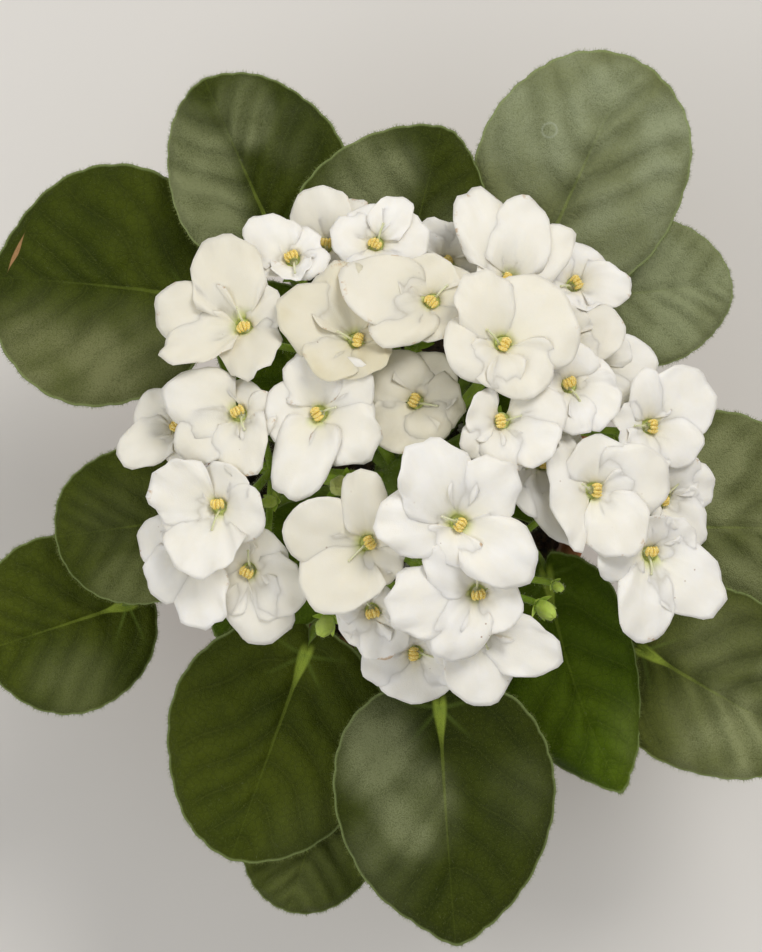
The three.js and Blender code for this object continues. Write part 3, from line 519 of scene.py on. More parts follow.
# Materials
class Look:
    """A material in the making: its colour so far, and short ways to the nodes that feed its shader."""

    def __init__(self, name):
        self.material = bpy.data.materials.new(name)
        self.material.use_nodes = True
        self.tree = self.material.node_tree
        self.shader = self.tree.nodes["Principled BSDF"]
        self.spot = None
        self.colour = None

    def feed(self, socket, value):
        """Link a socket to another node's value, or set it to a number or colour."""
        if isinstance(value, bpy.types.NodeSocket):
            self.tree.links.new(value, socket)
        else:
            socket.default_value = value

    def node(self, kind, inputs=None, **settings):
        made = self.tree.nodes.new(kind)
        for key, value in settings.items():
            setattr(made, key, value)
        for key, value in (inputs or {}).items():
            self.feed(made.inputs[key], value)
        return made

    def place(self):
        """Where a point is on its piece, in metres."""
        if not self.spot:
            self.spot = self.node("ShaderNodeTexCoord").outputs["Object"]
        return self.spot

    def parts(self, vector):
        """The three numbers of a vector."""
        return self.node("ShaderNodeSeparateXYZ", {0: vector}).outputs

    def marks(self, name):
        """The three numbers of a per-point mark."""
        read = self.node("ShaderNodeAttribute", attribute_type="GEOMETRY", attribute_name=name)
        return self.parts(read.outputs["Vector"])

    def maths(self, operation, *values):
        return self.node("ShaderNodeMath", dict(enumerate(values)), operation=operation).outputs[0]

    def plus(self, first, second):
        return self.maths("ADD", first, second)

    def minus(self, first, second):
        return self.maths("SUBTRACT", first, second)

    def times(self, first, *others):
        for other in others:
            first = self.maths("MULTIPLY", first, other)
        return first

    def size(self, value):
        return self.maths("ABSOLUTE", value)

    def reach(self, first, second):
        """Length of a line that goes so far one way and so far square to it."""
        return self.maths("SQRT", self.plus(self.times(first, first), self.times(second, second)))

    def ramp(self, value, low, high, start=0.0, end=1.0):
        """Smooth step of a value from low to high, as start to end."""
        inputs = {"Value": value, "From Min": low, "From Max": high, "To Min": start, "To Max": end}
        return self.node("ShaderNodeMapRange", inputs, interpolation_type="SMOOTHSTEP").outputs[0]

    def noise(self, scale, detail=3, roughness=0.5):
        inputs = {"Vector": self.place(), "Scale": scale, "Detail": detail, "Roughness": roughness}
        return self.node("ShaderNodeTexNoise", inputs).outputs["Fac"]

    def cells(self, scale, feature="F1"):
        inputs = {"Vector": self.place(), "Scale": scale}
        return self.node("ShaderNodeTexVoronoi", inputs, feature=feature).outputs["Distance"]

    def mix(self, factor, first, second):
        """Colour from first to second by a factor. A colour is a socket or three numbers."""
        first, second = ((*c, 1) if isinstance(c, tuple) else c for c in (first, second))
        inputs = {"Factor": factor, 6: first, 7: second}
        return self.node("ShaderNodeMix", inputs, data_type="RGBA").outputs[2]

    def lay(self, factor, colour):
        """Lay another colour over the one so far, by a factor."""
        self.colour = self.mix(factor, self.colour, colour)

    def bump(self, height, distance, strength):
        made = self.node("ShaderNodeBump", {"Height": height, "Distance": distance, "Strength": strength})
        self.feed(self.shader.inputs["Normal"], made.outputs["Normal"])

    def finish(self, roughness, **uniform):
        """The material, with the colour, roughness and uniform values of its shader."""
        uniform.update({"Base Color": self.colour, "Roughness": roughness})
        for key, value in uniform.items():
            self.feed(self.shader.inputs[key.replace("_", " ")], value)
        return self.material


def scaled(colour, factor):
    return tuple(factor * part for part in colour)


def leaf_material(name):
    """Velvety green leaf, quilted between veins, with a pale midrib, fine fuzz and a pale rim. It has painted
    light on the cushions, painted shade in the vein grooves and in the fine net, and painted sheen on listed
    places.
    """
    deep, light, vein, painted_sheen_green, sheen = LEAF_LOOKS[name]
    look = Look(f"leaf_{name}")
    along, across, phase = look.marks("mark")
    side, painted_sheen, rib_strength = look.marks("trait")
    ring = look.size(side)
    patch = look.ramp(look.noise(45), 0.3, 0.7)
    look.colour = look.mix(patch, deep, light)
    turn = look.maths("PINGPONG", phase, 0.5)
    inside = look.ramp(ring, 0.8, 0.97, 1, 0)
    # Painted light on the cushions between the side veins, and painted shade in the grooves along them.
    look.lay(look.times(look.ramp(turn, 0.06, 0.5), inside, 0.3), scaled(light, 1.4))
    look.lay(look.times(look.ramp(turn, 0, 0.2, 1, 0), inside, 0.3), scaled(deep, 0.6))
    side_vein = look.times(look.ramp(turn, 0.008, 0.04, 1, 0), inside)
    look.lay(look.times(side_vein, 0.22), vein)
    network = look.cells(420, "DISTANCE_TO_EDGE")
    # Painted shade in the fine net of grooves between the cells.
    look.lay(look.ramp(network, 0, 0.12, 0.25, 0), scaled(deep, 0.45))
    grain = look.cells(3000)
    glint = look.ramp(grain, 0.1, 0.9, 1.2, 0.6)
    cloudy = look.ramp(look.noise(70, 1, 0.4), 0.3, 0.65, 0.55, 1.2)
    streaks = look.ramp(turn, 0, 0.35, 0.78, 1)
    # Painted sheen: a pale grey-green laid on the listed places, speckled with painted glints, stronger on the
    # cushions.
    look.lay(look.times(painted_sheen, glint, cloudy, streaks), painted_sheen_green)
    rib = lay_midrib(look, along, across, rib_strength)
    fuzz = look.noise(2400, 2, 0.7)
    look.lay(look.ramp(fuzz, 0.5, 0.8, 0, 0.10), FUZZ_GREEN)
    look.lay(look.ramp(ring, 0.97, 0.995, 0, 0.6), RIM_GREEN)
    if name == "scarred":
        lay_scar(look, along, across)
    if name == "stained":
        lay_drop(look, along, across)
    back = look.mix(look.maths("MAXIMUM", side_vein, rib), look.mix(patch, *BACK_GREENS), BACK_VEIN)
    top = look.ramp(look.ramp(side, 0, 0.001), 0.4, 0.6)
    look.colour = look.mix(top, back, look.colour)
    relief = look.plus(look.ramp(network, 0, 0.45, 0, 0.5), look.times(fuzz, 0.4))
    look.bump(look.minus(relief, look.times(grain, 0.7)), 0.0003, 0.8)
    rough = look.ramp(look.noise(300, 2), 0.3, 0.7, 0.42, 0.58)
    return look.finish(rough, Sheen_Weight=sheen, Sheen_Roughness=0.45, Sheen_Tint=(0.88, 0.95, 0.72, 1),
                       Specular_IOR_Level=0.08)


def lay_midrib(look, along, across, strength):
    """Pale midrib that widens to a wedge at the joint, with a star of veins there. Returns the rib."""
    half_width = look.plus(look.ramp(along, -0.02, 0.18, 1.6, 0), look.ramp(along, 0, 0.75, 0.7, 0.25))
    from_rib = look.size(across)
    rib = look.ramp(look.maths("DIVIDE", from_rib, half_width), 0.45, 1.0, 1, 0)
    fade = look.plus(look.ramp(along, 0.06, 0.2, 1.3, 0), look.ramp(along, 0.02, 0.75, 0.55, 0.08))
    rib = look.times(rib, fade, look.ramp(along, -0.07, -0.01), strength)
    look.lay(rib, RIB_GREEN)
    ahead = look.times(along, MEAN_BLADE_LENGTH)
    from_joint = look.reach(ahead, across)
    spread = look.maths("ARCTAN2", from_rib, ahead)
    for angle in STAR_ANGLES:
        aside = look.times(look.size(look.minus(spread, angle)), from_joint)
        ray = look.times(look.ramp(aside, 0, 0.9, 1, 0), look.ramp(from_joint, 1, 14, 0.45, 0))
        look.lay(look.times(ray, strength), STAR_GREEN)
    return rib


def lay_scar(look, along, across):
    """Dry brown slit across the blade, narrow at both ends."""
    share, aside, half_length, slant = SCAR
    beside = look.minus(across, aside)
    lean = look.minus(along, look.times(beside, slant))
    narrow = look.times(look.ramp(look.size(beside), 0, half_length, 1, 0), 0.014)
    off = look.size(look.minus(lean, share))
    dry = look.ramp(look.minus(off, narrow), -0.004, 0.001, 1, 0)
    look.lay(look.times(dry, 0.85), SCAR_BROWN)


def lay_drop(look, along, across):
    """Pale ring of a dried drop of water."""
    share, aside, radius, leaf_length = DROP
    ahead = look.times(look.minus(along, share), leaf_length)
    distance = look.reach(look.minus(across, aside), ahead)
    look.lay(look.ramp(look.size(look.minus(distance, radius)), 0, 0.5, 0.4, 0), DROP_GREY)


def petal_material():
    """Satin white petal, creamier at its foot, with faint veins, a green throat and a few brown stains on the
    edge, and on some flowers a darker creamy tone that is partly painted shade.
    """
    look = Look("petal_white")
    along, across, _ = look.marks("mark")
    edge, chance, cream_and_shade = look.marks("trait")
    clouds = look.noise(120)
    look.colour = look.mix(look.ramp(clouds, 0.35, 0.7), (0.87, 0.835, 0.75), (0.91, 0.885, 0.83))
    # Darker creamy tone: partly the petals' own tint, partly painted shade.
    look.lay(look.times(cream_and_shade, look.ramp(look.noise(60, 2), 0.3, 0.6, 0.6, 1)), (0.66, 0.60, 0.42))
    fan = look.maths("SINE", look.plus(look.times(across, 13), look.times(clouds, 6)))
    veins = look.times(look.ramp(fan, 0.4, 1.0), look.ramp(along, 0.05, 0.9, 0.22, 0.05))
    look.lay(veins, (0.78, 0.75, 0.66))
    look.lay(look.ramp(along, 0.1, 0.6, 0.5, 0), (0.80, 0.76, 0.58))
    look.lay(look.ramp(along, 0.1, 0.24, 0.9, 0), (0.60, 0.68, 0.17))
    blotch = look.ramp(look.noise(260, 4, 0.65), 0.57, 0.67)
    stain = look.times(blotch, look.ramp(edge, 0.87, 0.975), look.ramp(chance, 0.5, 0.75), 0.75)
    look.lay(stain, (0.50, 0.27, 0.10))
    speck = look.ramp(look.cells(260), 0.05, 0.075, 1, 0)
    look.lay(look.times(speck, look.ramp(look.noise(70, 1), 0.58, 0.66), 0.7), (0.30, 0.16, 0.08))
    grain = look.cells(3600)
    look.bump(look.plus(look.times(grain, 0.3), look.times(fan, 0.35)), 0.00016, 0.6)
    return look.finish(look.ramp(grain, 0, 1, 0.5, 0.68), Sheen_Weight=0.15, Sheen_Roughness=0.5,
                       Subsurface_Weight=0.3, Subsurface_Scale=0.0012, Subsurface_Radius=(1, 0.9, 0.7),
                       Specular_IOR_Level=0.35)


def stalk_material(name, pale, deep):
    """Juicy green stalk with a paler streak and fine grain."""
    look = Look(name)
    streak = look.noise(180)
    look.colour = look.mix(look.ramp(streak, 0.3, 0.7), deep, pale)
    grain = look.noise(1800, 2)
    look.lay(look.ramp(grain, 0.55, 0.8, 0, 0.2), (0.6, 0.68, 0.30))
    look.bump(grain, 0.0002, 0.5)
    return look.finish(look.ramp(streak, 0, 1, 0.35, 0.55), Subsurface_Weight=0.15, Subsurface_Scale=0.001,
                       Subsurface_Radius=(0.6, 1, 0.2), Sheen_Weight=0.05, Sheen_Roughness=0.5,
                       Specular_IOR_Level=0.25)


def hair_material(name, root, tip):
    """Glassy plant hair, greener at its root."""
    look = Look(name)
    along, chance, _ = look.marks("mark")
    look.colour = look.mix(look.ramp(along, 0, 0.8), root, tip)
    look.lay(look.times(chance, 0.3), scaled(tip, 0.6))
    return look.finish(look.ramp(chance, 0, 1, 0.3, 0.5))


def grained_material(name, scale, detail, roughness, span, dark, pale, relief, rough, **uniform):
    """Stuff of one grain, darker in its hollows and paler where it stands out: partly its own grain, partly
    painted shade and painted light.
    """
    look = Look(name)
    height = look.noise(scale, detail, roughness)
    # Painted shade in the hollows and painted light on what stands out, from the same noise as the bump.
    look.colour = look.mix(look.ramp(height, *span), dark, pale)
    look.bump(height, *relief)
    return look.finish(look.ramp(height, 0, 1, *rough), **uniform)


def anther_material():
    """Powdery yellow anthers, paler where the grain stands out, partly as painted light."""
    return grained_material("anther_yellow", 3000, 2, 0.7, span=(0.35, 0.7), dark=(0.80, 0.55, 0.07),
                            pale=(0.98, 0.85, 0.38), relief=(0.0002, 0.8), rough=(0.6, 0.8),
                            Subsurface_Weight=0.1, Subsurface_Scale=0.0006, Subsurface_Radius=(1, 0.7, 0.1))


def withered_material():
    """Dry brown of a spent flower."""
    return grained_material("withered_brown", 900, 4, 0.65, span=(0.3, 0.7), dark=(0.16, 0.06, 0.02),
                            pale=(0.52, 0.30, 0.12), relief=(0.0004, 0.8), rough=(0.55, 0.8))


def perlite_material():
    """Chalky white grains that lighten the mix."""
    return grained_material("perlite", 1500, 4, 0.6, span=(0.3, 0.65), dark=(0.42, 0.37, 0.30),
                            pale=(0.82, 0.80, 0.74), relief=(0.0005, 0.9), rough=(0.7, 0.95))


def soil_material():
    """Dark potting mix of peat crumbs and bark."""
    look = Look("potting_mix")
    crumbs = look.noise(600, 5, 0.7)
    lumps = look.noise(120)
    # Darker where the crumbs lie low: partly the mix's own dark peat, partly painted shade in the hollows.
    look.colour = look.mix(look.ramp(crumbs, 0.35, 0.7), (0.010, 0.007, 0.004), (0.075, 0.043, 0.022))
    look.lay(look.ramp(lumps, 0.5, 0.75, 0, 0.5), (0.10, 0.055, 0.025))
    look.bump(look.plus(crumbs, look.times(lumps, 0.5)), 0.001, 0.9)
    return look.finish(look.ramp(crumbs, 0, 1, 0.75, 0.98))


def terracotta_material():
    """Fired clay with turning marks, darker towards its foot, pale lime bloom under the rim, and dark and pale
    grit.
    """
    look = Look("terracotta")
    _, _, height = look.parts(look.place())
    clay = look.noise(35, 5, 0.6)
    grit = look.noise(1200, 3, 0.6)
    look.colour = look.mix(look.ramp(clay, 0.3, 0.7), (0.42, 0.145, 0.065), (0.56, 0.235, 0.115))
    look.lay(look.ramp(grit, 0.6, 0.75, 0, 0.35), (0.25, 0.09, 0.045))
    look.lay(look.ramp(grit, 0.25, 0.4, 0.3, 0), (0.72, 0.42, 0.27))
    lime = look.ramp(look.noise(55, 6, 0.65), 0.5, 0.72)
    look.lay(look.times(lime, look.ramp(height, 0.03, 0.07), 0.55), (0.78, 0.66, 0.56))
    # Darker towards the foot of the pot.
    foot_darkening = look.ramp(look.plus(height, look.times(clay, 0.03)), 0.008, 0.042, 0.45, 0)
    look.lay(foot_darkening, (0.20, 0.065, 0.03))
    rings = look.maths("SINE", look.plus(look.times(height, 2600), look.times(clay, 5)))
    look.bump(look.plus(look.times(rings, 0.22), grit), 0.0003, 0.7)
    return look.finish(look.ramp(clay, 0.2, 0.8, 0.72, 0.92), Specular_IOR_Level=0.3)


# Leaves
def leaf_outline(leaf, turn, scale):
    """Edge of a blade, whose stalk joins it at the origin and whose tip lies along x."""
    lobe = 0.15 * leaf.width
    half = (leaf.length + lobe) / 2
    notch = 0.6 * lobe * bell(math.pi - np.abs(turn), NOTCH_WIDTH)
    point = leaf.point * leaf.length * bell(turn, 0.25)
    broad = (1 - leaf.back * np.cos(turn)) * (1 + leaf.skew * np.tanh(4 * turn))
    x = (leaf.length - lobe) / 2 + half * np.cos(turn) * scale + notch + point
    return x, leaf.width / 2 * np.sin(turn) * broad * scale


def leaf_grid(leaf, rings, around):
    """A blade in rings: share of the way to the edge, turn, x and y of each point, the middle point first."""
    ring, turn = (a.ravel() for a in np.meshgrid(rings, angles_round(around) - math.pi, indexing="ij"))
    teeth = np.abs(np.sin(14 * turn + 0.7 * np.sin(3 * turn + leaf.phase) + 1))
    scale = 1 - 0.015 * (1 - teeth ** 0.8) * ring ** 6
    scale = scale * (1 + 0.008 * np.sin(5 * turn + 2 * leaf.phase))
    centre = LEAF_MIDDLE * leaf.length
    x, y = leaf_outline(leaf, turn, scale)
    columns = ((0, ring), (0, turn), (centre, centre + ring * (x - centre)), (0, ring * y))
    return [np.concatenate([[first], rest]) for first, rest in columns]


def vein_phase(leaf, x, y):
    """Whole numbers of the phase lie on the side veins, which leave the midrib and bend to the tip."""
    off = np.sqrt(y * y + 1)
    source = (x - 0.5 * off - 0.012 * off ** 2) / (1 + off / leaf.length)
    drift = 0.12 * np.sin(0.16 * x + 0.11 * y + leaf.phase)
    drift = drift + 0.09 * np.sin(0.21 * y - 0.13 * x + 2 * leaf.phase)
    return source / (0.18 * leaf.length) + 0.2 + 0.3 * np.tanh(y / 3) + drift * smooth(2, 10, np.abs(y))


def leaf_form(leaf, fold, ring, turn, x, y, rng):
    """Height of the middle of a blade over its plane."""
    along, across = x / leaf.length, 2 * y / leaf.width
    rough = np.zeros_like(x)
    for _ in range(9):
        way = rng.uniform(0, math.pi)
        waves = rng.uniform(0.25, 0.8)
        rough += 0.10 * np.sin(waves * (x * math.cos(way) + y * math.sin(way)) + rng.uniform(0, 7))
    form = leaf.cup * across ** 2 - leaf.arch * along ** 2
    form = form + leaf.wave * ring ** 2 * np.sin(3 * turn + leaf.phase)
    form = form + 0.5 * ring ** 6 * np.sin(7 * turn + 3 * leaf.phase) - 0.9 * smooth(0.86, 1.0, ring) ** 2
    return form + rough + fold * (0.3 - np.exp(-np.abs(y) / 4)) * (1 - smooth(0.7, 1.0, along))


def painted_sheen_at(number, along, across):
    """How strongly the painted sheen shows at each point of a blade."""
    painted_sheen = np.zeros_like(along)
    for place_along, place_across, radius, strength in PAINTED_SHEEN.get(number, []):
        distance = np.hypot(along - place_along, 0.6 * (across - place_across)) / radius
        painted_sheen = np.maximum(painted_sheen, strength * np.exp(-distance ** 4))
    return painted_sheen


def add_blade(shape, leaf, number, matrix, narrow, rng):
    """Add the blade of a leaf. Returns points and quads of its top and of its underside."""
    fold, around = FOLD.get(number, FOLD[0]), BLADE_AROUND[narrow]
    rings = np.concatenate([np.linspace(0.035, 0.93, BLADE_RINGS[narrow]), RIM_RINGS])
    ring, turn, x, y = leaf_grid(leaf, rings, around)
    along, across = x / leaf.length, 2 * y / leaf.width
    phases = vein_phase(leaf, x, y)
    form = leaf_form(leaf, fold, ring, turn, x, y, rng)
    from_vein = np.abs(phases - np.round(phases)) * 2
    cushion = np.sin(0.5 * math.pi * from_vein) ** 1.4 * (1 - smooth(0.82, 1.0, ring))
    quilt = QUILT.get(number, QUILT[0]) * cushion
    rib = bell(y, 1.5) * (1 - smooth(0.55, 0.95, along))
    thick = BLADE_THICKNESS * np.sqrt(np.clip(1 - smooth(0.9, 1.0, ring) * 0.93, 0, 1))
    heights = {1: form + thick + 0.9 * (quilt - 0.75 * rib), -1: form - thick + 0.6 * (0.5 * quilt - rib)}
    quads = grid_faces(len(rings), around, wrap=True, start=1)
    here = np.arange(around)
    beside = (here + 1) % around
    fan = np.stack([np.zeros_like(here), 1 + here, 1 + beside], 1)
    # Strength of the painted sheen, passed to the material as the second number of each point's trait.
    painted_sheen = painted_sheen_at(number, along, across)
    skins = []
    for side, height in heights.items():
        points = triples(x, y + leaf.bend * along ** 2, height) @ matrix.T + np.array(leaf.at)
        start = shape.count
        trait = triples(side * (0.01 + 0.99 * ring), painted_sheen, RIBS.get(number, RIBS[0]))
        shape.add(points, quads[:, ::-side], triples(along, y, phases), trait)
        shape.join(fan[:, ::side], start=start)
        skins.append((points, quads[:, ::-side]))
    rim = len(x) - around + here
    rim_beside = len(x) - around + beside
    shape.join(np.stack([rim_beside, rim, rim + len(x), rim_beside + len(x)], 1))
    return skins


def leaf_shape(number, leaf):
    """A leaf with its stalk, and its hairs."""
    rng = np.random.default_rng(LEAF_SEED + number)
    shape, hairs = Shape(), Shape()
    narrow = leaf.width <= WIDE_BLADE
    matrix = turning(leaf.roll, -leaf.pitch, leaf.heading)
    top, under = add_blade(shape, leaf, number, matrix, narrow, rng)
    end = matrix @ (4, 0, -2.2 - 0.7 * FOLD.get(number, FOLD[0])) + leaf.at
    before = matrix @ (-leaf.reach, 0, -leaf.sink) + leaf.at
    foot = polar(3, math.atan2(leaf.at[1], leaf.at[0]), leaf.start)
    share = np.linspace(0, 1, PETIOLE_STEPS)
    radii = PETIOLE_RADIUS + 0.35 * (1 - share) ** 3 - 0.35 * smooth(0.85, 1, share)
    stalk = add_tube(shape, bezier(foot, before, end, len(share)), radii, PETIOLE_SIDES, slot=1)
    add_hairs(hairs, *top, "top", rng, narrow, toward=matrix @ (0.35, 0, 0))
    add_hairs(hairs, *under, "under", rng, narrow)
    add_rim_hairs(hairs, top[0][-BLADE_AROUND[narrow]:], top[0][0], rng, narrow)
    add_hairs(hairs, *stalk, "petiole", rng, narrow)
    return shape, hairs


# Flowers
def facing(at, lean):
    """Direction in which a flower looks: up, and leaning away from the middle."""
    lean = math.radians(lean)
    return polar(math.sin(lean), math.atan2(at[1], at[0]), math.cos(lean))


def throat_ring(at, normal, degrees, drop):
    """Points round a flower's throat, below its middle."""
    angle = np.radians(degrees)
    x, y = THROAT_RADIUS * np.cos(angle), THROAT_RADIUS * np.sin(angle)
    return triples(x, y, -(x * normal[0] + y * normal[1]) / normal[2] - drop) + np.asarray(at, float)


def petal_dome(u, v, length, width, phase, shift):
    """Height of a petal over its plane: its dome, wave, crease and folds."""
    dome = 0.3 * length * u * (1 - u) - 0.8 * (1 - u)
    wave = np.sin(2.2 * v + phase) * 0.07 * width * u ** 2
    crease = -0.9 * bell(v, 0.16) * u * (1.15 - u)
    folds = 0.30 * np.sin(4.4 * v + shift[2]) * u * smooth(0, 0.5, u) + 0.16 * np.sin(8 * v + shift[3]) * u
    return dome + wave + crease + folds


def petal_frill(u, edge, swing, width, ruffle, shift):
    """Ruffles that grow towards the edge of a petal."""
    frill = 0.55 * np.sin(3.2 * swing + shift[0]) + 0.42 * ruffle * np.sin(7.5 * swing + shift[1])
    return frill * smooth(0.4, 1.0, edge) ** 1.6 * smooth(0.2, 0.8, u) * width / 13


def add_petal(shape, at, lean, heading, reach, width, sector, layer, cream_and_shade, rng):
    """One petal, a thin sheet that starts on the ring round the throat."""
    normal = facing(at, lean)
    turn = math.radians(heading)
    rise = math.radians(min(PETAL_OPEN - lean * math.cos(turn - math.atan2(at[1], at[0])), 55))
    direction = polar(math.cos(rise), turn, math.sin(rise))
    side = unit(np.cross(normal, direction))
    up = np.cross(direction, side)
    length = reach / math.cos(rise)
    first = PETAL_START / length
    out_share, v = grid_shares(PETAL_GRID)
    out_share = out_share ** 0.95
    u = first + (1 - first) * out_share
    shift = rng.uniform(0, 6.3, 6)
    edge = np.clip((np.abs(v) ** 9 + u ** 14) ** (1 / 9), 0, 1)
    cap = rng.uniform(0.5, 0.64) * length
    swing = PETAL_SWING * v
    ruffle = rng.uniform(0.6, 2.2)
    point = rng.uniform(-0.05, 0.07) * bell(v, 0.3)
    waves = 0.026 * np.sin(4 * swing + shift[4]) + 0.02 * ruffle * np.sin(8.5 * swing + shift[5])
    lobes = 1 + (point + waves) * u ** 5
    tip = length - cap + cap * np.cos(swing) * lobes
    out = tip * out_share + first * length * (1 - out_share)
    beside = 0.6 * width * np.sin(swing) * lobes * (0.12 + 0.88 * out_share ** 0.65)
    lift = petal_dome(u, v, length, width, heading, shift) + petal_frill(u, edge, swing, width, ruffle, shift)
    lift = lift + 0.22 * np.sin(0.7 * out + shift[3]) * np.sin(0.6 * beside + shift[2]) * u
    lift = lift + rng.uniform(-0.5, 1.8) * v ** 2 * u
    lift = lift + rng.uniform(-1.2, 1.0) * smooth(0.65, 1.05, u) ** 2
    lift = lift + layer * smooth(first, 0.6, u)
    points = triples(out, beside, lift) @ np.array([direction, side, up]) + np.asarray(at, float)
    share = bell(u - first, 0.09)[..., None]
    points = points * (1 - share) + throat_ring(at, normal, heading + v * sector * 0.54, 0.8) * share
    face_up = unit(np.cross(np.gradient(points, axis=0), np.gradient(points, axis=1)))
    face_up = face_up * np.sign(np.sum(face_up * up, -1, keepdims=True))
    thick = (PETAL_THICKNESS * (1 - 0.85 * edge ** 6))[..., None] * face_up
    mark = triples(u, v, rng.random())
    add_sheet(shape, points + thick, points - thick, mark, triples(edge, rng.random(), cream_and_shade))


def add_turned(shape, centre, axes, profile, sides, mark=(0, 0, 0)):
    """Add a profile turned round the last of three axes. Returns its points and quads."""
    points, quads = turned(profile, sides)
    points = points @ np.array(axes) + np.asarray(centre, float)
    shape.add(points, quads, mark)
    return points, quads


def add_middle(shape, centre, axes, rng):
    """Two anthers of two lobes on short stalks, the long style and the round ovary."""
    first, second, third = axes
    way = rng.uniform(0, 2 * math.pi)
    pointing = math.cos(way) * first + math.sin(way) * second
    beside = np.cross(third, pointing)

    def spot(ahead, aside, rise):
        return centre + pointing * ahead + beside * aside + third * rise

    for sign in (-1, 1):
        for lobe in (-1, 1):
            middle = spot(0.6, (0.95 + 0.4 * lobe) * sign, 1.6 - 0.25 * lobe)
            long_axis = pointing * 1.35 + third * 0.3 * lobe
            points, faces = ball(middle, [long_axis, beside * 0.52, third * 0.7], 12, 9)
            bend = ((points - middle) @ pointing) ** 2
            points = points - bend[:, None] * (0.2 * third + 0.16 * sign * beside)
            shape.add(points + rng.normal(scale=0.035, size=points.shape), faces, slot=1)
        ends = spot(0, 0.6 * sign, -2.5), spot(0, 1.5 * sign, -0.2), spot(0.5, 0.85 * sign, 1.2)
        stalk = bezier(*ends, FILAMENT_STEPS)
        add_tube(shape, stalk, 0.26, THREAD_SIDES, slot=2)
    back, rise, aside = rng.uniform(4.2, 6), rng.uniform(2.2, 3.4), rng.uniform(-1.5, 1.5)
    end = spot(-back, aside, rise)
    style = bezier(spot(0, 0, -2), spot(-1.5, 0, 2.2), end, STYLE_STEPS)
    add_tube(shape, style, np.linspace(0.36, 0.22, len(style)), THREAD_SIDES, slot=2)
    shape.add(*ball(end, np.eye(3) * 0.38, 8, 6), slot=2)
    shape.add(*ball(spot(0, 0, -2.1), [first * 1.2, second * 1.2, third * 1.5]), slot=2)


def bloom_shape(number, at, lean, petals):
    """A flower of five petals."""
    rng = np.random.default_rng(BLOOM_SEED + number)
    shape = Shape()
    petals = sorted(petals)
    for index, (heading, reach, width) in enumerate(petals):
        before = (heading - petals[index - 1][0]) % 360
        after = (petals[(index + 1) % len(petals)][0] - heading) % 360
        sector = 0.5 * (before + after)
        layer, cream_and_shade = PETAL_LAYERS[index], CREAM_AND_SHADE.get(number, 0)
        add_petal(shape, at, lean, heading, reach, width, sector, layer, cream_and_shade, rng)
    profile = fine_profile(THROAT_PROFILE, 0.8)
    inner = np.repeat(np.linspace(0.09, 0, len(profile)), THROAT_SIDES)
    axes = frame_of(facing(at, lean))
    add_turned(shape, at, axes, profile, THROAT_SIDES, triples(inner, 0, 0))
    add_middle(shape, np.array(at, float), axes, rng)
    return shape


# Flower stalks
def add_sepal(shape, seat, axes, angle, length, width, lift, slot=0):
    """One pointed sepal from the seat, along an angle round the flower's axis."""
    first, second, third = axes
    u, v = grid_shares(SEPAL_GRID)
    reach = 0.5 + (length - 0.5) * u
    half = width / 2 * np.sin(math.pi * np.clip(0.28 + 0.72 * u, 0, 1)) ** 0.8
    rise = lift * u ** 1.6 + 0.35 * v ** 2 * (1 - 0.4 * u) - 0.5
    out = math.cos(angle) * first + math.sin(angle) * second
    beside = -math.sin(angle) * first + math.cos(angle) * second
    points = seat + triples(reach, half * v, rise) @ np.array([out, beside, third])
    thick = (SEPAL_THICKNESS * (1 - 0.7 * np.maximum(np.abs(v), u) ** 4))[..., None] * third
    mark = triples(u, v, 0)
    add_sheet(shape, points + thick, points - thick, mark, 0 * mark, slot)


def add_hairy_tube(shape, hairs, path, radii, sides, place, rng):
    add_hairs(hairs, *add_tube(shape, path, radii, sides), place, rng)


def add_flower_stalk(shape, hairs, fork, at, lean, rng):
    """The last stalk of a flower, and its hairy calyx of five sepals."""
    normal = facing(at, lean)
    axes = frame_of(normal)
    seat = np.array(at) - CALYX_BACK * normal
    path = bezier(fork, seat - 8 * normal, seat - normal, FLOWER_STALK_STEPS)
    radii = 0.95 + 0.25 * np.linspace(0, 1, len(path)) ** 5
    add_hairy_tube(shape, hairs, path, radii, FLOWER_STALK_SIDES, "flower stalk", rng)
    cup = add_turned(shape, seat, axes, fine_profile(CALYX_PROFILE, 0.7), CALYX_SIDES)
    for angle in angles_round(5):
        add_sepal(shape, seat, axes, angle + 0.1, 4.9, 2.3, 1.6)
    add_hairs(hairs, *cup, "calyx", rng)


def add_bud(shape, hairs, fork, x, y, z, radius, kind, rng):
    """A bud or a withered flower on its stalk, held by five sepals."""
    centre = np.array([x, y, z], float)
    outward = unit((x, y, 60))
    axes = frame_of(outward)
    path = bezier(fork, centre - 6 * outward, centre - 1.2 * radius * outward, BUD_STALK_STEPS)
    add_hairy_tube(shape, hairs, path, 0.9, BUD_STALK_SIDES, "bud stalk", rng)
    points, faces = ball(centre, [axes[0] * radius, axes[1] * radius, outward * 1.75 * radius], 18, 14)
    local = (points - centre) @ np.array(axes).T
    around = np.arctan2(local[:, 1], local[:, 0])
    crumple = radius * (0.22 if kind == "withered" else 0.07)
    points = points + unit(points - centre) * (crumple * np.sin(5 * around + local[:, 2] * 0.8))[:, None]
    shape.add(points, faces, slot={"green": 3, "white": 1, "withered": 2}[kind])
    seat = centre - 1.35 * radius * outward
    length, slot = (1.75 * radius, 3) if kind == "green" else (1.9 * radius, 0)
    for angle in angles_round(5):
        add_sepal(shape, seat, axes, angle, length, 0.95 * radius, 1.2 * radius, slot)
    add_hairs(hairs, points, faces, "bud", rng)


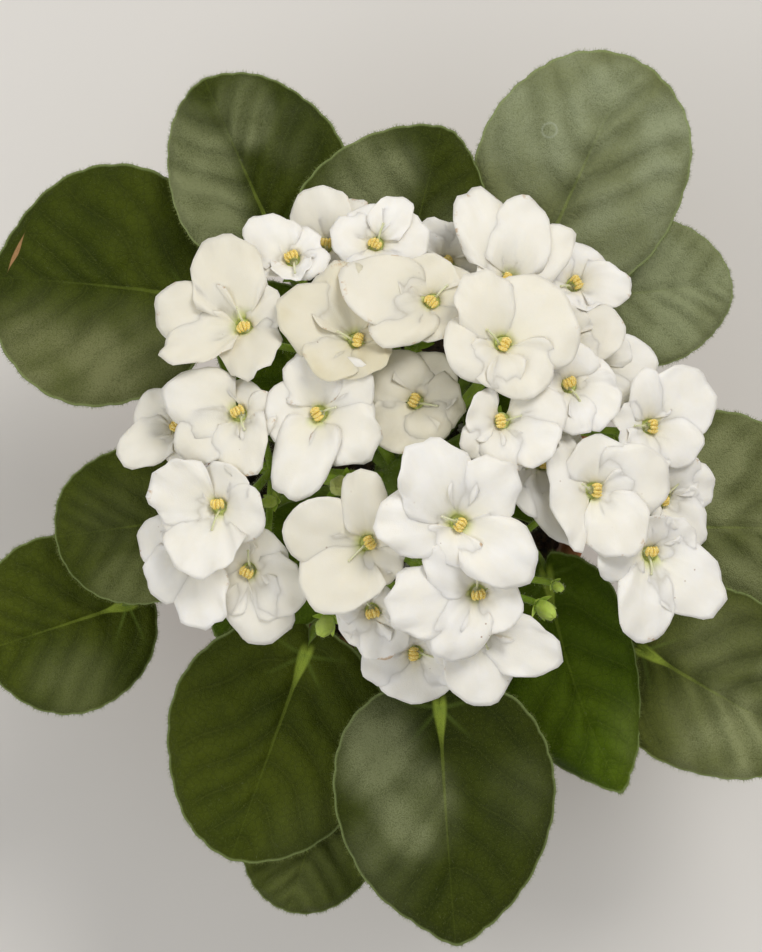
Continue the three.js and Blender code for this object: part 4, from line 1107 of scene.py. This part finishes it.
def spray_shape(number, heading, start, fork, blooms, buds):
    """A flower stalk with its two small leaves at the fork and all that it carries, and its hairs."""
    rng = np.random.default_rng(SPRAY_SEED + number)
    shape, hairs = Shape(), Shape()
    turn = math.radians(heading)
    fork = np.array(fork, float)
    path = bezier(polar(2, turn, start - 2), polar(13, turn, start + 4), fork, MAIN_STALK_STEPS)
    radii = 1.5 + 0.25 * np.linspace(0, 1, len(path)) ** 6
    add_hairy_tube(shape, hairs, path, radii, MAIN_STALK_SIDES, "main stalk", rng)
    for _ in range(2):
        angle = rng.uniform(0, 6.3)
        add_sepal(shape, fork, frame_of(polar(0.2, angle, 1)), angle, 6, 2.4, 1.5)
    for bloom in blooms:
        add_flower_stalk(shape, hairs, fork, *BLOOMS[bloom - 1][:2], rng)
    for bud in buds:
        add_bud(shape, hairs, fork, *bud, rng)
    return shape, hairs


# Stem, soil and pot
def crown_shape():
    """The short scarred stem in the middle, and its hairs."""
    rng = np.random.default_rng(CROWN_SEED)
    shape, hairs = Shape(), Shape()
    points, quads = turned(fine_profile(CROWN_PROFILE, 0.9), CROWN_SIDES)
    x, y, z = points.T
    angle = np.arctan2(y, x)
    scars = 0.45 * np.sin(5 * angle + z * 0.9) * np.sin(z * 0.75)
    grain = 0.18 * np.sin(17 * angle + 2 * z) + 0.12 * np.sin(z * 4 + 3 * angle)
    points[:, :2] *= (1 + (scars + grain) / 8 * smooth(0.5, 3, np.hypot(x, y)))[:, None]
    shape.add(points, quads)
    add_hairs(hairs, points, quads, "crown", rng)
    return shape, hairs


def soil_height(x, y):
    """Height of the uneven top of the soil."""
    radius = np.hypot(x, y)
    bumps = 0.35 * np.sin(0.55 * x + 1.3) * np.sin(0.61 * y + 0.4)
    bumps = bumps + 0.25 * np.sin(1.3 * x - 0.9 * y) * np.sin(1.1 * y + 0.7 * x)
    return np.interp(radius, *zip(*SOIL_TOP)) + bumps * smooth(SOIL_TOP[-1][0], 40, radius)


def soil_shape():
    """The mix in the pot, with an uneven top."""
    shape = Shape()
    top = [(radius, 0) for radius in np.linspace(SOIL_TOP[-1][0], 0.2, 60)[1:]]
    points, faces = turned(SOIL_PROFILE + top, SOIL_SIDES)
    upper = slice((len(SOIL_PROFILE) - 1) * SOIL_SIDES, None)
    points[upper, 2] = soil_height(points[upper, 0], points[upper, 1])
    shape.add(points, faces)
    return shape


def grains_shape():
    """Loose crumbs and perlite pressed into the top of the mix."""
    rng = np.random.default_rng(CRUMB_SEED)
    shape = Shape()
    nearest, farthest = CRUMB_LIMITS
    for index in range(CRUMB_COUNT):
        radius = CRUMB_SPREAD * math.sqrt(rng.random())
        angle = rng.uniform(0, 2 * math.pi)
        white = index % CRUMBS_TO_WHITE == 0
        size = rng.uniform(0.9, 1.7) if white else 0.35 + 1.1 * rng.random() ** 2
        if radius < nearest + size or radius > farthest - size:
            continue
        middle = polar(radius, angle)
        middle[2] = soil_height(middle[0], middle[1]) + 0.25 * size
        axes = turning(*rng.uniform(0, 360, 3)) * (size * rng.uniform(0.55, 1.0, 3))[:, None]
        points, faces = ball(middle, axes, 6, 5)
        shape.add(points + rng.normal(scale=0.12 * size, size=points.shape), faces, slot=int(white))
    return shape


def drill(pot, x, y):
    """Cut a drainage hole through the floor of the pot."""
    points, quads, caps = tube([(x, y, height) for height in DRILL_ENDS], DRAIN_RADIUS, DRILL_SIDES)
    cutter = mesh_object("drill", points, quads.tolist() + caps.tolist())
    cut = pot.modifiers.new("hole", "BOOLEAN")
    cut.operation = "DIFFERENCE"
    cut.solver = "EXACT"
    cut.object = cutter
    bpy.context.view_layer.update()
    graph = bpy.context.evaluated_depsgraph_get()
    pot.data = bpy.data.meshes.new_from_object(pot.evaluated_get(graph))
    pot.modifiers.clear()
    bpy.data.objects.remove(cutter)


def add_pot():
    """Thrown clay pot with round edges and drainage holes in its floor."""
    shape = Shape()
    profile = fine_profile(POT_PROFILE, 3)
    profile[[0, -1], 0] = 0.05
    shape.add(*turned(profile, POT_SIDES))
    shape.join([np.arange(POT_SIDES)[::-1], np.arange(shape.count - POT_SIDES, shape.count)])
    pot = piece("pot_clay", shape, [terracotta_material()], "terracotta", "pot")
    for hole in range(DRAIN_COUNT):
        x, y, _ = polar(DRAIN_CIRCLE, 2 * math.pi * (hole + 0.5) / DRAIN_COUNT)
        drill(pot, x, y)


# Stage, light and camera
def add_floor():
    corners = [(x * FLOOR_HALF, y * FLOOR_HALF, 0) for x, y in ((-1, -1), (1, -1), (1, 1), (-1, 1))]
    floor = mesh_object("floor", corners, [(0, 1, 2, 3)])
    look = Look("pale_floor")
    look.colour = look.mix(look.noise(3, 2), (0.70, 0.68, 0.65), (0.74, 0.72, 0.69))
    floor.data.materials.append(look.finish(0.85))


def lamp(name, position, size, power, colour):
    """Round area lamp that looks at the middle of the plant."""
    light = bpy.data.lights.new(name, "AREA")
    light.shape = "DISK"
    light.size = size
    light.energy = power
    light.color = colour
    matrix = np.eye(4)
    matrix[:3, :3] = np.stack(frame_of(np.subtract(position, LAMP_TARGET)), 1)
    matrix[:3, 3] = position
    new_object(name, light).matrix_world = Matrix(matrix.tolist())


def light_and_camera():
    """Soft studio light, and a camera that looks straight down as in the photo."""
    scene = bpy.context.scene
    scene.world = bpy.data.worlds.new("studio")
    scene.world.use_nodes = True
    background = scene.world.node_tree.nodes["Background"]
    background.inputs["Color"].default_value, background.inputs["Strength"].default_value = SURROUNDINGS
    for row in LAMPS:
        lamp(*row)
    camera = bpy.data.cameras.new("camera")
    camera.lens = CAMERA_LENS
    scene.camera = new_object("camera", camera)
    scene.camera.location = CAMERA_PLACE
    scene.view_settings.view_transform = "Standard"


def build():
    """All pieces of the plant and its pot, on the stage."""
    add_floor()
    light_and_camera()
    looks = {name: leaf_material(name) for name in LEAF_LOOKS}
    petiole = stalk_material("petiole_green", (0.20, 0.30, 0.030), (0.10, 0.16, 0.012))
    # Stalks and buds: their own lime green, made lighter as painted light where they sit in the shade of the
    # flowers.
    stalk = stalk_material("stalk_green", (0.40, 0.56, 0.07), (0.22, 0.35, 0.025))
    bud = stalk_material("bud_green", (0.66, 0.82, 0.20), (0.46, 0.62, 0.07))
    style = stalk_material("style_pale", (0.76, 0.76, 0.55), (0.60, 0.62, 0.36))
    petal = petal_material()
    flower = [petal, anther_material(), style]
    spray = [stalk, petal, withered_material(), bud]
    hair = hair_material("leaf_hair", (0.05, 0.07, 0.005), (0.20, 0.24, 0.05))
    stalk_hair = hair_material("stalk_hair", (0.22, 0.29, 0.09), (0.66, 0.70, 0.48))
    for number, row in enumerate(LEAVES, start=1):
        leaf = Leaf(*row)
        name = f"leaf_{number:02d}"
        shape, hairs = leaf_shape(number, leaf)
        piece(f"{name}_blade", shape, [looks[leaf.look], petiole], "leaf_green", name)
        piece(f"{name}_hairs", hairs, [hair], "leaf_green")
    for number, bloom in enumerate(BLOOMS, start=1):
        name = f"bloom_{number:02d}"
        piece(f"{name}_flower", bloom_shape(number, *bloom), flower, "petal_white", name)
    for number, branch in enumerate(SPRAYS, start=1):
        name = f"spray_{number}"
        shape, hairs = spray_shape(number, *branch)
        piece(f"{name}_stalks", shape, spray, "stalk_green", name)
        piece(f"{name}_hairs", hairs, [stalk_hair], "stalk_green")
    shape, hairs = crown_shape()
    piece("crown_stem", shape, [petiole], "crown_green", "crown")
    piece("crown_hairs", hairs, [stalk_hair], "crown_green")
    soil = soil_material()
    piece("soil_mix", soil_shape(), [soil], "potting_mix", "soil")
    piece("soil_grains", grains_shape(), [soil, perlite_material()], "potting_mix")
    add_pot()


build()
bpy.context.view_layer.update()
